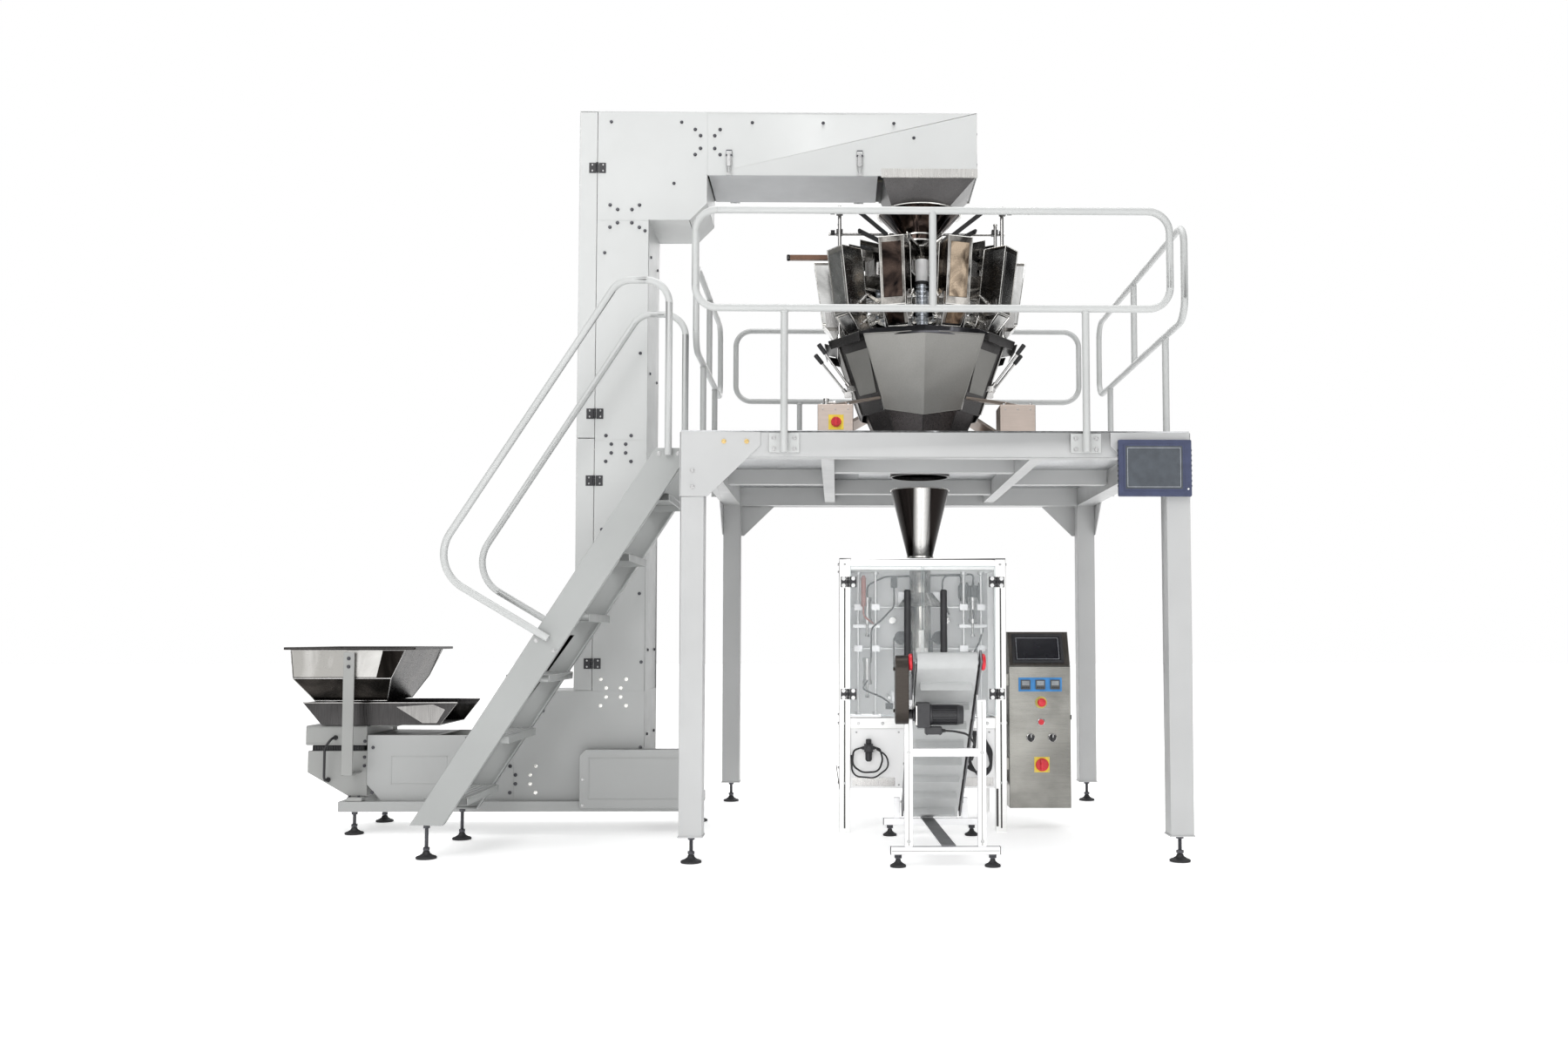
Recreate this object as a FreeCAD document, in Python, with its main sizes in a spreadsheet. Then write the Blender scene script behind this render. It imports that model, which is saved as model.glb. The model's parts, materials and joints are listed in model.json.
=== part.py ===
"""Vertical form fill sealer packing line.

A bucket elevator lifts product from a vibrating infeed hopper to a ten-head weigher, which stands on a
platform with handrails and stairs and drops each weighed portion into the form fill sealer below. An
inclined conveyor carries the finished bags away.

Everything is laid out about the drop axis, the vertical line down which the product falls, with the
front of the line facing -Y and the floor at Z = 0. Each sub-part is then placed in the row frame, whose
origin is the middle of the floor area that the line covers.
"""
import FreeCAD, Part

import math
import os

import Sketcher
from FreeCAD import Matrix, Placement, Rotation, Vector

doc = FreeCAD.newDocument("packing_line")
sheet = doc.addObject("Spreadsheet::Sheet", "Dims")
NAMED_SIZES = []
SUB_PARTS = []


# ---------------------------------------------------------------- sizes that know their sheet cell
class Size:
    """A length in millimetres together with the sheet expression that gives it."""

    def __init__(self, value, text):
        self.value = float(value)
        self.text = text

    def joined(self, sign, value, other):
        return Size(value, f"({self.text} {sign} {as_size(other).text})")

    def __add__(self, other):
        return self.joined("+", self.value + float(other), other)

    def __sub__(self, other):
        return self.joined("-", self.value - float(other), other)

    def __mul__(self, other):
        return self.joined("*", self.value * float(other), other)

    def __truediv__(self, other):
        return self.joined("/", self.value / float(other), other)

    def __radd__(self, other):
        return as_size(other) + self

    def __rsub__(self, other):
        return as_size(other) - self

    def __rmul__(self, other):
        return as_size(other) * self

    def __neg__(self):
        return as_size(-1) * self

    def __float__(self):
        return self.value


def as_size(value):
    if isinstance(value, Size):
        return value
    return Size(value, f"({float(value):.6f})")


def size(name, value):
    """Put a driving dimension in the sheet and return it."""
    row = len(NAMED_SIZES) + 1
    NAMED_SIZES.append(name)
    sheet.set(f"A{row}", name)
    sheet.set(f"B{row}", str(value))
    sheet.setAlias(f"B{row}", name)
    return Size(value, f"Dims.{name}")


def spot(x, y, z):
    return Vector(float(x), float(y), float(z))


# ---------------------------------------------------------------- driving dimensions
SHIFT_X = size("shift_x", 986)
SHIFT_Y = size("shift_y", 91.3)
SHEET_METAL = size("sheet_metal", 4)

SPAN = size("platform_span", 2200)
LEG = size("leg_tube", 100)
LEG_FOOT = size("leg_foot_height", 112)
TUBE_WALL = size("tube_wall", 4)
BEAM_LOW = size("beam_low", 1744)
BEAM_HIGH = size("beam_high", 1848)
DECK = size("deck_thickness", 8)
DECK_HOLE = size("deck_hole", 620)
JOIST_X = size("joist_place", 440)
JOIST = size("joist_width", 60)
GUSSET_REACH = size("gusset_reach", 343)
GUSSET_DROP = size("gusset_drop", 175)
GUSSET_FOOT = size("gusset_foot", 115)
GUSSET_THICK = size("gusset_thick", 6)

RAIL_TUBE = size("rail_tube_radius", 16)
RAIL_LOW = size("rail_low", 2386)
RAIL_HIGH = size("rail_high", 2816)
RAIL_END = size("rail_end", 1040)
RAIL_BEND = size("rail_bend", 95)
POST_FOOT = size("post_foot", 1759)
POST_PLATE = size("post_plate", 132)
POST_PLATE_TALL = size("post_plate_tall", 84)
POST_PLATE_THICK = size("post_plate_thick", 10)

STAIR_FRONT = size("stair_front", -955)
STAIR_BACK = size("stair_back", -365)
STRINGER_FLANGE = size("stringer_flange", 34)
TREAD_FIRST = size("tread_first", 262)
TREAD_RISE = size("tread_rise", 268.5)
TREAD_DEPTH = size("tread_depth", 190)

CASE_HALF = size("case_half_width", 200)
CASE_TOP = size("case_top", 3630)
HEAD_END = size("head_end", 282)
HEAD_LOW = size("head_low", 3302)
STEP_X = size("step_place", -1087)
STEP_LOW = size("step_low", 3070)
CORNER = size("step_corner", 86)
COLUMN_RIGHT = size("column_right", -1380)
COLUMN_LEFT = size("column_left", -1730)
SEAM = size("door_seam", -1640)
DOOR_JOINT = size("door_joint", 1958)
BASE_HIGH = size("base_high", 698)
BASE_TOP = size("base_top", 480)
BASE_LEFT = size("base_left", -2740)
RAIL_TOP = size("base_rail_top", 160)
BAR_LEFT = size("base_bar_left", -2864)
BAR_RIGHT = size("base_bar_right", -1120)

INLET_LEFT = size("inlet_left", -2400)
HOPPER_LEFT = size("hopper_left", -3084)
HOPPER_RIGHT = size("hopper_right", -2530)
HOPPER_HALF = size("hopper_half_depth", 300)
HOPPER_TOP = size("hopper_top", 910)
HOPPER_WAIST = size("hopper_waist", 763)
HOPPER_FOOT = size("hopper_foot", 649)
PAN_FLOOR = size("pan_floor", 530)
PAN_TOP = size("pan_top", 641)
PAN_HALF = size("pan_half_depth", 201)
BOX_HALF = size("vibrator_half_depth", 190)
BOX_RIGHT = size("vibrator_right", -2746)

BAG_HALF = size("bagger_half_width", 416)
BAG_POST = size("bagger_post", 55)
BAG_FRONT = size("bagger_front", -200)
BAG_BACK = size("bagger_back", 600)
BAG_HIGH = size("bagger_height", 1353)
MID_RAIL = size("mid_rail", 509)
LOW_RAIL = size("low_rail", 215)
DOOR_LOW = size("door_low", 575)
DOOR_HIGH = size("door_high", 1318)
TUBE_RADIUS = size("forming_tube_radius", 55)
ROLL_Y = size("film_roll_place", 370)
ROLL_Z = size("film_roll_height", 300)
GRIP = size("handle_radius", 17)

HEADS = 10
HEAD_STEP = 360 / HEADS
CHUTE_TOP = size("chute_top_radius", 420)
CHUTE_FOOT = size("chute_foot_radius", 300)
MOUTH = size("funnel_mouth", 1800)

CABINET_LEFT = size("cabinet_left", 436)
CABINET_RIGHT = size("cabinet_right", 744)
CABINET_FRONT = size("cabinet_front", -150)
CABINET_BACK = size("cabinet_back", 170)

BELT_MIDDLE = size("belt_middle", 30)
BELT_HALF = size("belt_half_width", 125)
TAIL_Y = size("tail_place", -330)
TAIL_Z = size("tail_height", 135)
HEAD_Y = size("head_place", -1270)
HEAD_Z = size("head_height", 860)
PULLEY = size("pulley_radius", 38)
doc.recompute()

# ---------------------------------------------------------------- places used by several sub-parts
HALF = SPAN / 2
INNER = HALF - LEG
CORNERS = [(x, y) for x in (-1, 1) for y in (-1, 1)]
HEAD_ANGLES = [HEAD_STEP / 2 + HEAD_STEP * head for head in range(HEADS)]
GAP_ANGLES = [HEAD_STEP * head for head in range(HEADS)]

RAIL_PLANE = HALF + POST_PLATE_THICK + RAIL_TUBE
FRONT_POSTS = (-655, 650)
SIDE_POSTS = (-615, 630)
LEFT_POSTS = (60, 690)

FLOOR_BAR = 146
STRINGER_TOP = 1740
STRINGER = [(-2284, FLOOR_BAR), (-2140, FLOOR_BAR), (-1107, STRINGER_TOP), (-1107, 1800), (-1232, 1800)]
STAIR_SLOPE = (STRINGER_TOP - FLOOR_BAR) / (2140 - 1107)

FEET = [(x, y, LEG_FOOT) for x in (-1050, 1050) for y in (-1050, 1050)]
FEET += [(-2215, y, FLOOR_BAR) for y in (-930, -390)]
FEET += [(x, y, 110) for x in (-2790, -1150) for y in (-215, 215)]
SMALL_FEET = [(x, y, 53) for x in (-169, 229) for y in (-1165, -300)]

BASE_RISE = COLUMN_LEFT - 293
LATCHES = (-976, -313)
UPPER_HINGES = (3335, 2081)
LOWER_HINGES = (1744, 832)
DOOR_HINGES = (1238, 681)
HINGE_HALF = 26

SLOPE_FOOT = (float(CABINET_FRONT), 818)
SLOPE_HEAD = (float(CABINET_FRONT) + 80, 990)


# ---------------------------------------------------------------- solids
def bind(piece, field, length):
    piece.setExpression(field, as_size(length).text)


def block(x, y, z):
    """A box given by its low and high value on each axis."""
    piece = doc.addObject("Part::Box", "block")
    for field, (low, high) in zip(("Length", "Width", "Height"), (x, y, z)):
        bind(piece, field, as_size(high) - low)
    for axis, (low, _) in zip("xyz", (x, y, z)):
        bind(piece, f"Placement.Base.{axis}", low)
    return piece


def cut(outer, inner):
    piece = doc.addObject("Part::Cut", "cut")
    piece.Base = outer
    piece.Tool = inner
    return piece


def square_tube(x, y, z, along):
    """A square tube, open at both ends, with its walls inside the given box."""
    inner = []
    for axis, (low, high) in zip("xyz", (x, y, z)):
        gap = -1 if axis == along else TUBE_WALL
        inner.append((low + gap, high - gap))
    return cut(block(x, y, z), block(*inner))


TURN = {"x": Rotation(Vector(0, 1, 0), 90), "y": Rotation(Vector(1, 0, 0), -90), "z": Rotation()}


def rod(axis, span, radius, **centre):
    """A round bar along an axis, with its centre given on the other two axes."""
    piece = doc.addObject("Part::Cylinder", "rod")
    bind(piece, "Radius", radius)
    bind(piece, "Height", as_size(span[1]) - span[0])
    piece.Placement = Placement(Vector(), TURN[axis])
    bind(piece, f"Placement.Base.{axis}", span[0])
    for name, length in centre.items():
        bind(piece, f"Placement.Base.{name}", length)
    return piece


def cone(x, y, z, radii):
    piece = doc.addObject("Part::Cone", "cone")
    bind(piece, "Radius1", radii[0])
    bind(piece, "Radius2", radii[1])
    bind(piece, "Height", as_size(z[1]) - z[0])
    bind(piece, "Placement.Base.x", x)
    bind(piece, "Placement.Base.y", y)
    bind(piece, "Placement.Base.z", z[0])
    return piece


def funnel(z, radii, wall=3):
    """A thin round funnel or collar about the drop axis."""
    low, high = (as_size(radius) for radius in radii)
    return cut(cone(0, 0, z, (low, high)), cone(0, 0, z, (low - wall, high - wall)))


PLANES = {"xz": ("XZ_Plane", -1), "yz": ("YZ_Plane", 1)}


def plate(plane, points, span):
    """A flat plate padded from a fully constrained outline on an origin plane, over a span across it."""
    role, way = PLANES[plane]
    body = doc.addObject("PartDesign::Body", "plate")
    sketch = body.newObject("Sketcher::SketchObject", "outline")
    origin_plane = next(item for item in body.Origin.OriginFeatures if item.Role == role)
    sketch.AttachmentSupport = [(origin_plane, "")]
    sketch.MapMode = "FlatFace"
    start = span[0] if way > 0 else span[1]
    bind(sketch, "AttachmentOffset.Base.z", as_size(start) * way)
    corners = [Vector(float(across), float(up), 0) for across, up in points]
    for number, corner in enumerate(corners):
        sketch.addGeometry(Part.LineSegment(corner, corners[(number + 1) % len(corners)]))
    for number, (across, up) in enumerate(points):
        after = (number + 1) % len(points)
        sketch.addConstraint(Sketcher.Constraint("Coincident", number, 2, after, 1))
        for kind, length in (("DistanceX", across), ("DistanceY", up)):
            index = sketch.addConstraint(Sketcher.Constraint(kind, -1, 1, number, 1, float(length)))
            bind(sketch, f"Constraints[{index}]", length)
    pad = body.newObject("PartDesign::Pad", "pad")
    pad.Profile = sketch
    bind(pad, "Length", as_size(span[1]) - span[0])
    return body


def feature(shape):
    piece = doc.addObject("Part::Feature", "piece")
    piece.Shape = shape
    return piece


def prism(low, high):
    """A solid with flat faces between two outlines of four points each."""
    faces = [Part.Face(Part.makePolygon(list(outline) + [outline[0]])) for outline in (low, high)]
    for number in range(4):
        after = (number + 1) % 4
        side = [low[number], low[after], high[after], high[number], low[number]]
        faces.append(Part.Face(Part.makePolygon(side)))
    solid = Part.Solid(Part.Shell(faces))
    if solid.Volume < 0:
        solid.reverse()
    return feature(solid)


def rectangle(x, y, z, inset=0):
    left, right = float(x[0]) + inset, float(x[1]) - inset
    front, back = float(y[0]) + inset, float(y[1]) - inset
    return [spot(*corner, z) for corner in ((left, front), (right, front), (right, back), (left, back))]


def hopper(top, bottom, z, wall=2.5):
    """Four mitred plates between a rectangle at the bottom and one at the top."""
    outer_low, inner_low = rectangle(*bottom, z[0]), rectangle(*bottom, z[0], wall)
    outer_high, inner_high = rectangle(*top, z[1]), rectangle(*top, z[1], wall)
    walls = []
    for one in range(4):
        two = (one + 1) % 4
        low = (outer_low[one], outer_low[two], inner_low[two], inner_low[one])
        high = (outer_high[one], outer_high[two], inner_high[two], inner_high[one])
        walls.append(prism(low, high))
    return walls


def strut(start, end, width, depth, across=Vector(1, 0, 0)):
    """A straight bar between two points, with its width along the given direction."""
    along = end - start
    length = along.Length
    along.normalize()
    side = (across - along * across.dot(along)).normalize()
    third = along.cross(side)
    matrix = Matrix(side.x, third.x, along.x, start.x, side.y, third.y, along.y, start.y,
                    side.z, third.z, along.z, start.z, 0, 0, 0, 1)
    width, depth = float(width), float(depth)
    bar = Part.makeBox(width, depth, length, Vector(-width / 2, -depth / 2, 0))
    return feature(bar.transformGeometry(matrix))


def round_bar(start, end, radius):
    return feature(Part.makeCylinder(float(radius), (end - start).Length, start, end - start))


def bent_tube(points, radius, bends, closed=False):
    """A tube bent from one length: straight runs joined by tangent round bends, one bend per corner."""
    radius = float(radius)
    count = len(points)
    turns = range(count) if closed else range(1, count - 1)
    leaves, arrives = dict(enumerate(points)), dict(enumerate(points))
    pieces = []
    for number, bend in zip(turns, bends):
        corner = points[number]
        back = (points[number - 1] - corner).normalize()
        ahead = (points[(number + 1) % count] - corner).normalize()
        half = back.getAngle(ahead) / 2
        reach = bend / math.tan(half)
        arrives[number] = corner + back * reach
        leaves[number] = corner + ahead * reach
        centre = corner + (back + ahead).normalize() * (bend / math.sin(half))
        axis = (arrives[number] - centre).cross(leaves[number] - centre)
        ring = Part.Face(Part.Wire(Part.makeCircle(radius, arrives[number], back)))
        pieces.append(ring.revolve(centre, axis, 180 - math.degrees(2 * half)))
    for number in range(count if closed else count - 1):
        after = (number + 1) % count
        run = arrives[after] - leaves[number]
        pieces.append(Part.makeCylinder(radius, run.Length, leaves[number], run))
    return [feature(piece) for piece in pieces]


def ring(pieces, angles):
    """Copies of the pieces turned about the drop axis, made for an angle of 0 at the front."""
    doc.recompute()
    copies = []
    for angle in angles:
        for piece in pieces:
            shape = piece.Shape.copy()
            shape.rotate(Vector(), Vector(0, 0, 1), angle)
            copies.append(feature(shape))
    return copies


def sub_part(name, *pieces):
    """Gather the solids of one sub-part under its own label and place it in the row frame."""
    solids = []
    for piece in pieces:
        solids.extend(piece if isinstance(piece, list) else [piece])
    group = doc.addObject("Part::Compound", name)
    group.Label = name
    group.Links = solids
    bind(group, "Placement.Base.x", SHIFT_X)
    bind(group, "Placement.Base.y", SHIFT_Y)
    SUB_PARTS.append(group)


def sided(side, low, high):
    """The span from low to high on the positive side, or its mirror image on the negative side."""
    return (low, high) if side > 0 else (-as_size(high), -as_size(low))


# ---------------------------------------------------------------- platform
def gusset_outline(side):
    """A corner plate over the end of a beam and the top of a leg."""
    foot, reach = BEAM_LOW - GUSSET_DROP, (HALF - GUSSET_REACH) * side
    return [(HALF * side, foot), ((HALF - GUSSET_FOOT) * side, foot), (reach, BEAM_LOW + 46),
            (reach, BEAM_HIGH), (HALF * side, BEAM_HIGH)]


def platform():
    """Tube legs and beams, with joists and cross beams under a deck with a square hole."""
    legs = []
    for x, y in CORNERS:
        legs.append(square_tube(sided(x, INNER, HALF), sided(y, INNER, HALF), (LEG_FOOT, BEAM_LOW), "z"))
        plug = (INNER + TUBE_WALL, HALF - TUBE_WALL)
        legs.append(block(sided(x, *plug), sided(y, *plug), (LEG_FOOT, LEG_FOOT + 6)))
    beams = []
    for side in (-1, 1):
        beams.append(square_tube((-HALF, HALF), sided(side, INNER, HALF), (BEAM_LOW, BEAM_HIGH), "x"))
        beams.append(square_tube(sided(side, INNER, HALF), (-INNER, INNER), (BEAM_LOW, BEAM_HIGH), "y"))
        joist = sided(side, JOIST_X, JOIST_X + JOIST)
        beams.append(square_tube(joist, (-INNER, INNER), (BEAM_LOW + 16, BEAM_HIGH), "y"))
        outer = sided(side, JOIST_X + JOIST, INNER)
        beams.append(square_tube(outer, (140, 200), (BEAM_LOW + 24, BEAM_HIGH), "x"))
    for front in (-360, 600):
        inner = (-JOIST_X, JOIST_X)
        beams.append(square_tube(inner, (front, front + 60), (BEAM_LOW + 24, BEAM_HIGH), "x"))
    gussets = []
    for x, y in CORNERS:
        gussets.append(plate("xz", gusset_outline(x), sided(y, HALF, HALF + GUSSET_THICK)))
        gussets.append(plate("yz", gusset_outline(y), sided(x, HALF, HALF + GUSSET_THICK)))
    sub_part("platform_frame", legs, beams, gussets)

    hole = DECK_HOLE / 2
    top = (BEAM_HIGH, BEAM_HIGH + DECK)
    panels = [block(sided(side, hole, HALF), (-HALF, HALF), top) for side in (-1, 1)]
    panels += [block((-hole, hole), sided(side, hole, HALF), top) for side in (-1, 1)]
    sub_part("deck_plate", panels)


def rail_spot(along_x, side, place, up):
    """A point on a handrail plane: along X on the front and back, or along Y on the two sides."""
    return spot(place, RAIL_PLANE * side, up) if along_x else spot(RAIL_PLANE * side, place, up)


def handrail(along_x, side, ends, posts, middle):
    """One closed handrail loop with its posts and bolted post plates."""
    low, high = ends
    loop = bent_tube([rail_spot(along_x, side, low, RAIL_LOW), rail_spot(along_x, side, high, RAIL_LOW),
                      rail_spot(along_x, side, high, RAIL_HIGH), rail_spot(along_x, side, low, RAIL_HIGH)],
                     RAIL_TUBE, [float(RAIL_BEND)] * 4, closed=True)
    runs = Part.makeCompound([piece.Shape for piece in loop])
    spans = [(place, POST_FOOT, RAIL_LOW) for place in posts] + [(middle, RAIL_LOW, RAIL_HIGH)]
    pieces = list(loop)
    for place, foot, head in spans:
        post = Part.makeCylinder(float(RAIL_TUBE), float(head - foot), rail_spot(along_x, side, place, foot))
        pieces.append(feature(post.cut(runs)))
    for place in posts:
        across = (as_size(place) - POST_PLATE / 2, as_size(place) + POST_PLATE / 2)
        out = sided(side, HALF, HALF + POST_PLATE_THICK)
        up = (POST_FOOT, POST_FOOT + POST_PLATE_TALL)
        pieces.append(block(across, out, up) if along_x else block(out, across, up))
    return pieces


def handrails():
    """One loop on each side of the deck, with the left one leaving room for the stairs."""
    loops = handrail(True, -1, (-RAIL_END, RAIL_END - 20), FRONT_POSTS, -12)
    loops += handrail(True, 1, (-RAIL_END, RAIL_END), FRONT_POSTS, -12)
    loops += handrail(False, 1, (-965, 935), SIDE_POSTS, 26)
    loops += handrail(False, -1, (-300, 1040), LEFT_POSTS, 370)
    sub_part("platform_handrails", loops)


# ---------------------------------------------------------------- stairs
def stairs():
    """Two channel stringers, folded treads between them and a bent handrail on each."""
    stringers = []
    skin = 7
    for web, inward in ((STAIR_FRONT, 1), (STAIR_BACK, -1)):
        thick = sorted((float(web), float(web) + 6 * inward))
        flange = sorted((float(web) + 6 * inward, float(web + (STRINGER_FLANGE + 6) * inward)))
        stringers.append(plate("xz", STRINGER, thick))
        foot_left, foot_right, head_right, _, head_left = STRINGER
        for foot, head, across in ((foot_right, head_right, -skin), (foot_left, head_left, skin)):
            outline = [foot, head, (head[0] + across, head[1]), (foot[0] + across, foot[1])]
            stringers.append(plate("xz", outline, flange))
        foot_span = (foot_left[0] + 2 * skin, foot_right[0] - skin)
        stringers.append(block(foot_span, flange, (FLOOR_BAR, FLOOR_BAR + 6)))
    sub_part("stair_stringers", stringers)

    treads = []
    front = STAIR_FRONT + STRINGER_FLANGE + 6
    back = STAIR_BACK - STRINGER_FLANGE - 6
    for step in range(6):
        top = TREAD_FIRST + TREAD_RISE * step
        middle = as_size(-2212 + (float(top) - FLOOR_BAR) / STAIR_SLOPE)
        left, right = middle - TREAD_DEPTH / 2, middle + TREAD_DEPTH / 2
        treads.append(block((left, right), (front, back), (top - 4, top)))
        treads.append(block((left, left + 4), (front, back), (top - 34, top - 4)))
        treads.append(block((right - 4, right), (front, back), (top - 34, top - 4)))
        for end in ((front, front + 4), (back - 4, back)):
            treads.append(block((left + 4, right - 4), end, (top - 34, top - 4)))
    sub_part("stair_treads", treads)

    rails = []
    for plane in (STAIR_FRONT - RAIL_TUBE, STAIR_BACK + RAIL_TUBE):
        route = [(-1690, 958), (-2218, 1272), (-1395, 2548), (-1172, 2548), (-1172, 1765)]
        rails += bent_tube([spot(x, plane, z) for x, z in route], RAIL_TUBE, (170, 105, 105))
    sub_part("stair_handrails", rails)


# ---------------------------------------------------------------- feet and bolts
def levelling_foot(x, y, top, pad):
    """A round pad with a cone, a threaded stem and a lock nut."""
    nut = 12
    return [cone(x, y, (0, 8), (pad, pad)), cone(x, y, (8, 30), (pad * 0.8, 14)),
            rod("z", (30, top - nut), 9, x=x, y=y), rod("z", (top - nut, top), 15, x=x, y=y)]


def feet():
    """Levelling feet under the legs, the stairs, the elevator and the conveyor."""
    pieces = []
    for x, y, top in FEET:
        pieces += levelling_foot(x, y, top, 45)
    for x, y, top in SMALL_FEET:
        pieces += levelling_foot(x, y, top, 34)
    sub_part("levelling_feet", pieces)


def bolts():
    """Round bolt heads standing on the plates that they hold."""
    head, tall = 8, 7
    pieces = []
    face = HALF + GUSSET_THICK
    for side in (-1, 1):
        out = sided(side, face, face + tall)
        for x in (-915, -817, 817, 915):
            pieces.append(rod("y", out, head, x=x, z=1807))
            pieces.append(rod("x", out, head, y=x, z=1807))
        for x in (-1050, 1050):
            for z in (1610, 1680):
                pieces.append(rod("y", out, head, x=x, z=z))
        plate_out = sided(side, HALF + POST_PLATE_THICK, HALF + POST_PLATE_THICK + tall)
        for place in FRONT_POSTS:
            pieces += plate_bolts("y", plate_out, place)
        for place in (SIDE_POSTS if side > 0 else LEFT_POSTS):
            pieces += plate_bolts("x", plate_out, place)
    for plane, inward in ((STAIR_FRONT, -1), (STAIR_BACK, 1)):
        out = sorted((float(plane), float(plane) + tall * inward))
        for x, z in ((-1745, 950), (-1668, 905), (-1215, 1775), (-1130, 1775)):
            pieces.append(rod("y", out, head, x=x, z=z))
    sub_part("frame_bolts", pieces)


def plate_bolts(axis, out, place):
    """The four bolts of one handrail post plate."""
    other = "x" if axis == "y" else "y"
    corners = [(across, up) for across in (-44, 44) for up in (15, 63)]
    return [rod(axis, out, 6, **{other: place + across, "z": POST_FOOT + up}) for across, up in corners]


# ---------------------------------------------------------------- bucket elevator
def casing():
    """The folded sheet casing: a low base, a column and a head, standing on a frame of bars."""
    low_face = [(BASE_LEFT, BASE_TOP), (BASE_LEFT, 240), (BASE_LEFT + 70, RAIL_TOP),
                (BASE_RISE, RAIL_TOP), (BASE_RISE, BASE_TOP)]
    high_face = [(BASE_RISE, RAIL_TOP), (COLUMN_RIGHT, RAIL_TOP), (COLUMN_RIGHT, BASE_HIGH),
                 (BASE_RISE + CORNER, BASE_HIGH), (BASE_RISE, BASE_HIGH - CORNER)]
    corner_face = [(SEAM, STEP_LOW), (STEP_X - CORNER, STEP_LOW), (STEP_X, STEP_LOW + CORNER),
                   (STEP_X, CASE_TOP - SHEET_METAL), (SEAM, CASE_TOP - SHEET_METAL)]
    pieces = []
    for side in (-1, 1):
        across = sided(side, CASE_HALF - SHEET_METAL, CASE_HALF)
        pieces += [plate("xz", outline, across) for outline in (low_face, high_face, corner_face)]
        pieces.append(block((SEAM, COLUMN_RIGHT), across, (BASE_HIGH, DOOR_JOINT)))
        pieces.append(block((SEAM, COLUMN_RIGHT), across, (DOOR_JOINT, STEP_LOW)))
        pieces.append(block((STEP_X, HEAD_END), across, (HEAD_LOW, CASE_TOP - SHEET_METAL)))
    inside = (-CASE_HALF + SHEET_METAL, CASE_HALF - SHEET_METAL)
    edges = [((HEAD_END - SHEET_METAL, HEAD_END), (HEAD_LOW, CASE_TOP - SHEET_METAL)),
             ((STEP_X - SHEET_METAL, STEP_X), (STEP_LOW + CORNER + 4, HEAD_LOW)),
             ((COLUMN_RIGHT, STEP_X - CORNER - 4), (STEP_LOW, STEP_LOW + SHEET_METAL)),
             ((COLUMN_RIGHT - SHEET_METAL, COLUMN_RIGHT), (BASE_HIGH, STEP_LOW)),
             ((COLUMN_RIGHT - SHEET_METAL, COLUMN_RIGHT), (RAIL_TOP + SHEET_METAL, BASE_HIGH)),
             ((BASE_RISE, BASE_RISE + SHEET_METAL), (BASE_TOP, BASE_HIGH - CORNER - 4)),
             ((BASE_RISE + CORNER + 4, COLUMN_LEFT), (BASE_HIGH - SHEET_METAL, BASE_HIGH)),
             ((BASE_LEFT + SHEET_METAL, INLET_LEFT), (BASE_TOP - SHEET_METAL, BASE_TOP)),
             ((BASE_LEFT, BASE_LEFT + SHEET_METAL), (244, BASE_TOP)),
             ((BASE_LEFT + 74, COLUMN_RIGHT), (RAIL_TOP, RAIL_TOP + SHEET_METAL))]
    pieces += [block(x, inside, z) for x, z in edges]
    slopes = [[(STEP_X - CORNER, STEP_LOW + 1), (STEP_X - 1, STEP_LOW + CORNER),
               (STEP_X - 4, STEP_LOW + CORNER + 3), (STEP_X - CORNER - 3, STEP_LOW + 4)],
              [(BASE_RISE + 1, BASE_HIGH - CORNER), (BASE_RISE + CORNER, BASE_HIGH - 1),
               (BASE_RISE + CORNER + 3, BASE_HIGH - 4), (BASE_RISE + 4, BASE_HIGH - CORNER - 3)],
              [(BASE_LEFT + 1, 240), (BASE_LEFT + 70, RAIL_TOP + 1), (BASE_LEFT + 73, RAIL_TOP + 4),
               (BASE_LEFT + 4, 243)]]
    pieces += [plate("xz", outline, inside) for outline in slopes]
    lid = (CASE_TOP - SHEET_METAL, CASE_TOP)
    pieces.append(block((COLUMN_LEFT, HEAD_END), (-CASE_HALF, CASE_HALF), lid))
    for side in (-1, 1):
        pieces.append(block((BAR_LEFT, BAR_RIGHT), sided(side, 180, 240), (110, RAIL_TOP)))
    for left in (BAR_LEFT, BAR_RIGHT - 40):
        pieces.append(block((left, left + 40), (-180, 180), (110, RAIL_TOP)))
    for x in LATCHES:
        pieces.append(block((x - 14, x + 14), (-CASE_HALF - 10, -CASE_HALF), (3350, 3424)))
        pieces.append(rod("z", (3312, 3350), 4, x=x, y=-CASE_HALF - 5))
        pieces += fixed_knuckles("x", x, y=CASE_HALF + 7, z=HEAD_LOW - 2)
        leaf = (x - HINGE_HALF, x + HINGE_HALF)
        pieces.append(block(leaf, (CASE_HALF, CASE_HALF + 2), (HEAD_LOW + 6, HEAD_LOW + 40)))
    for z in UPPER_HINGES + LOWER_HINGES:
        pieces += fixed_knuckles("z", z, x=SEAM - 1, y=-CASE_HALF - 7)
        tall = (z - HINGE_HALF, z + HINGE_HALF)
        pieces.append(block((SEAM + 8, SEAM + 42), (-CASE_HALF - 4, -CASE_HALF), tall))
    sub_part("elevator_casing", pieces)


def fixed_knuckles(axis, middle, **centre):
    """The two outer knuckles of a hinge, on the hinge's own axis."""
    spans = ((middle - HINGE_HALF, middle - 10.5), (middle + 10.5, middle + HINGE_HALF))
    return [rod(axis, span, 6, **centre) for span in spans]


def moving_knuckle(axis, middle, **centre):
    """The middle knuckle of a hinge, which turns with the door."""
    return rod(axis, (middle - 10, middle + 10), 6, **centre)


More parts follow.
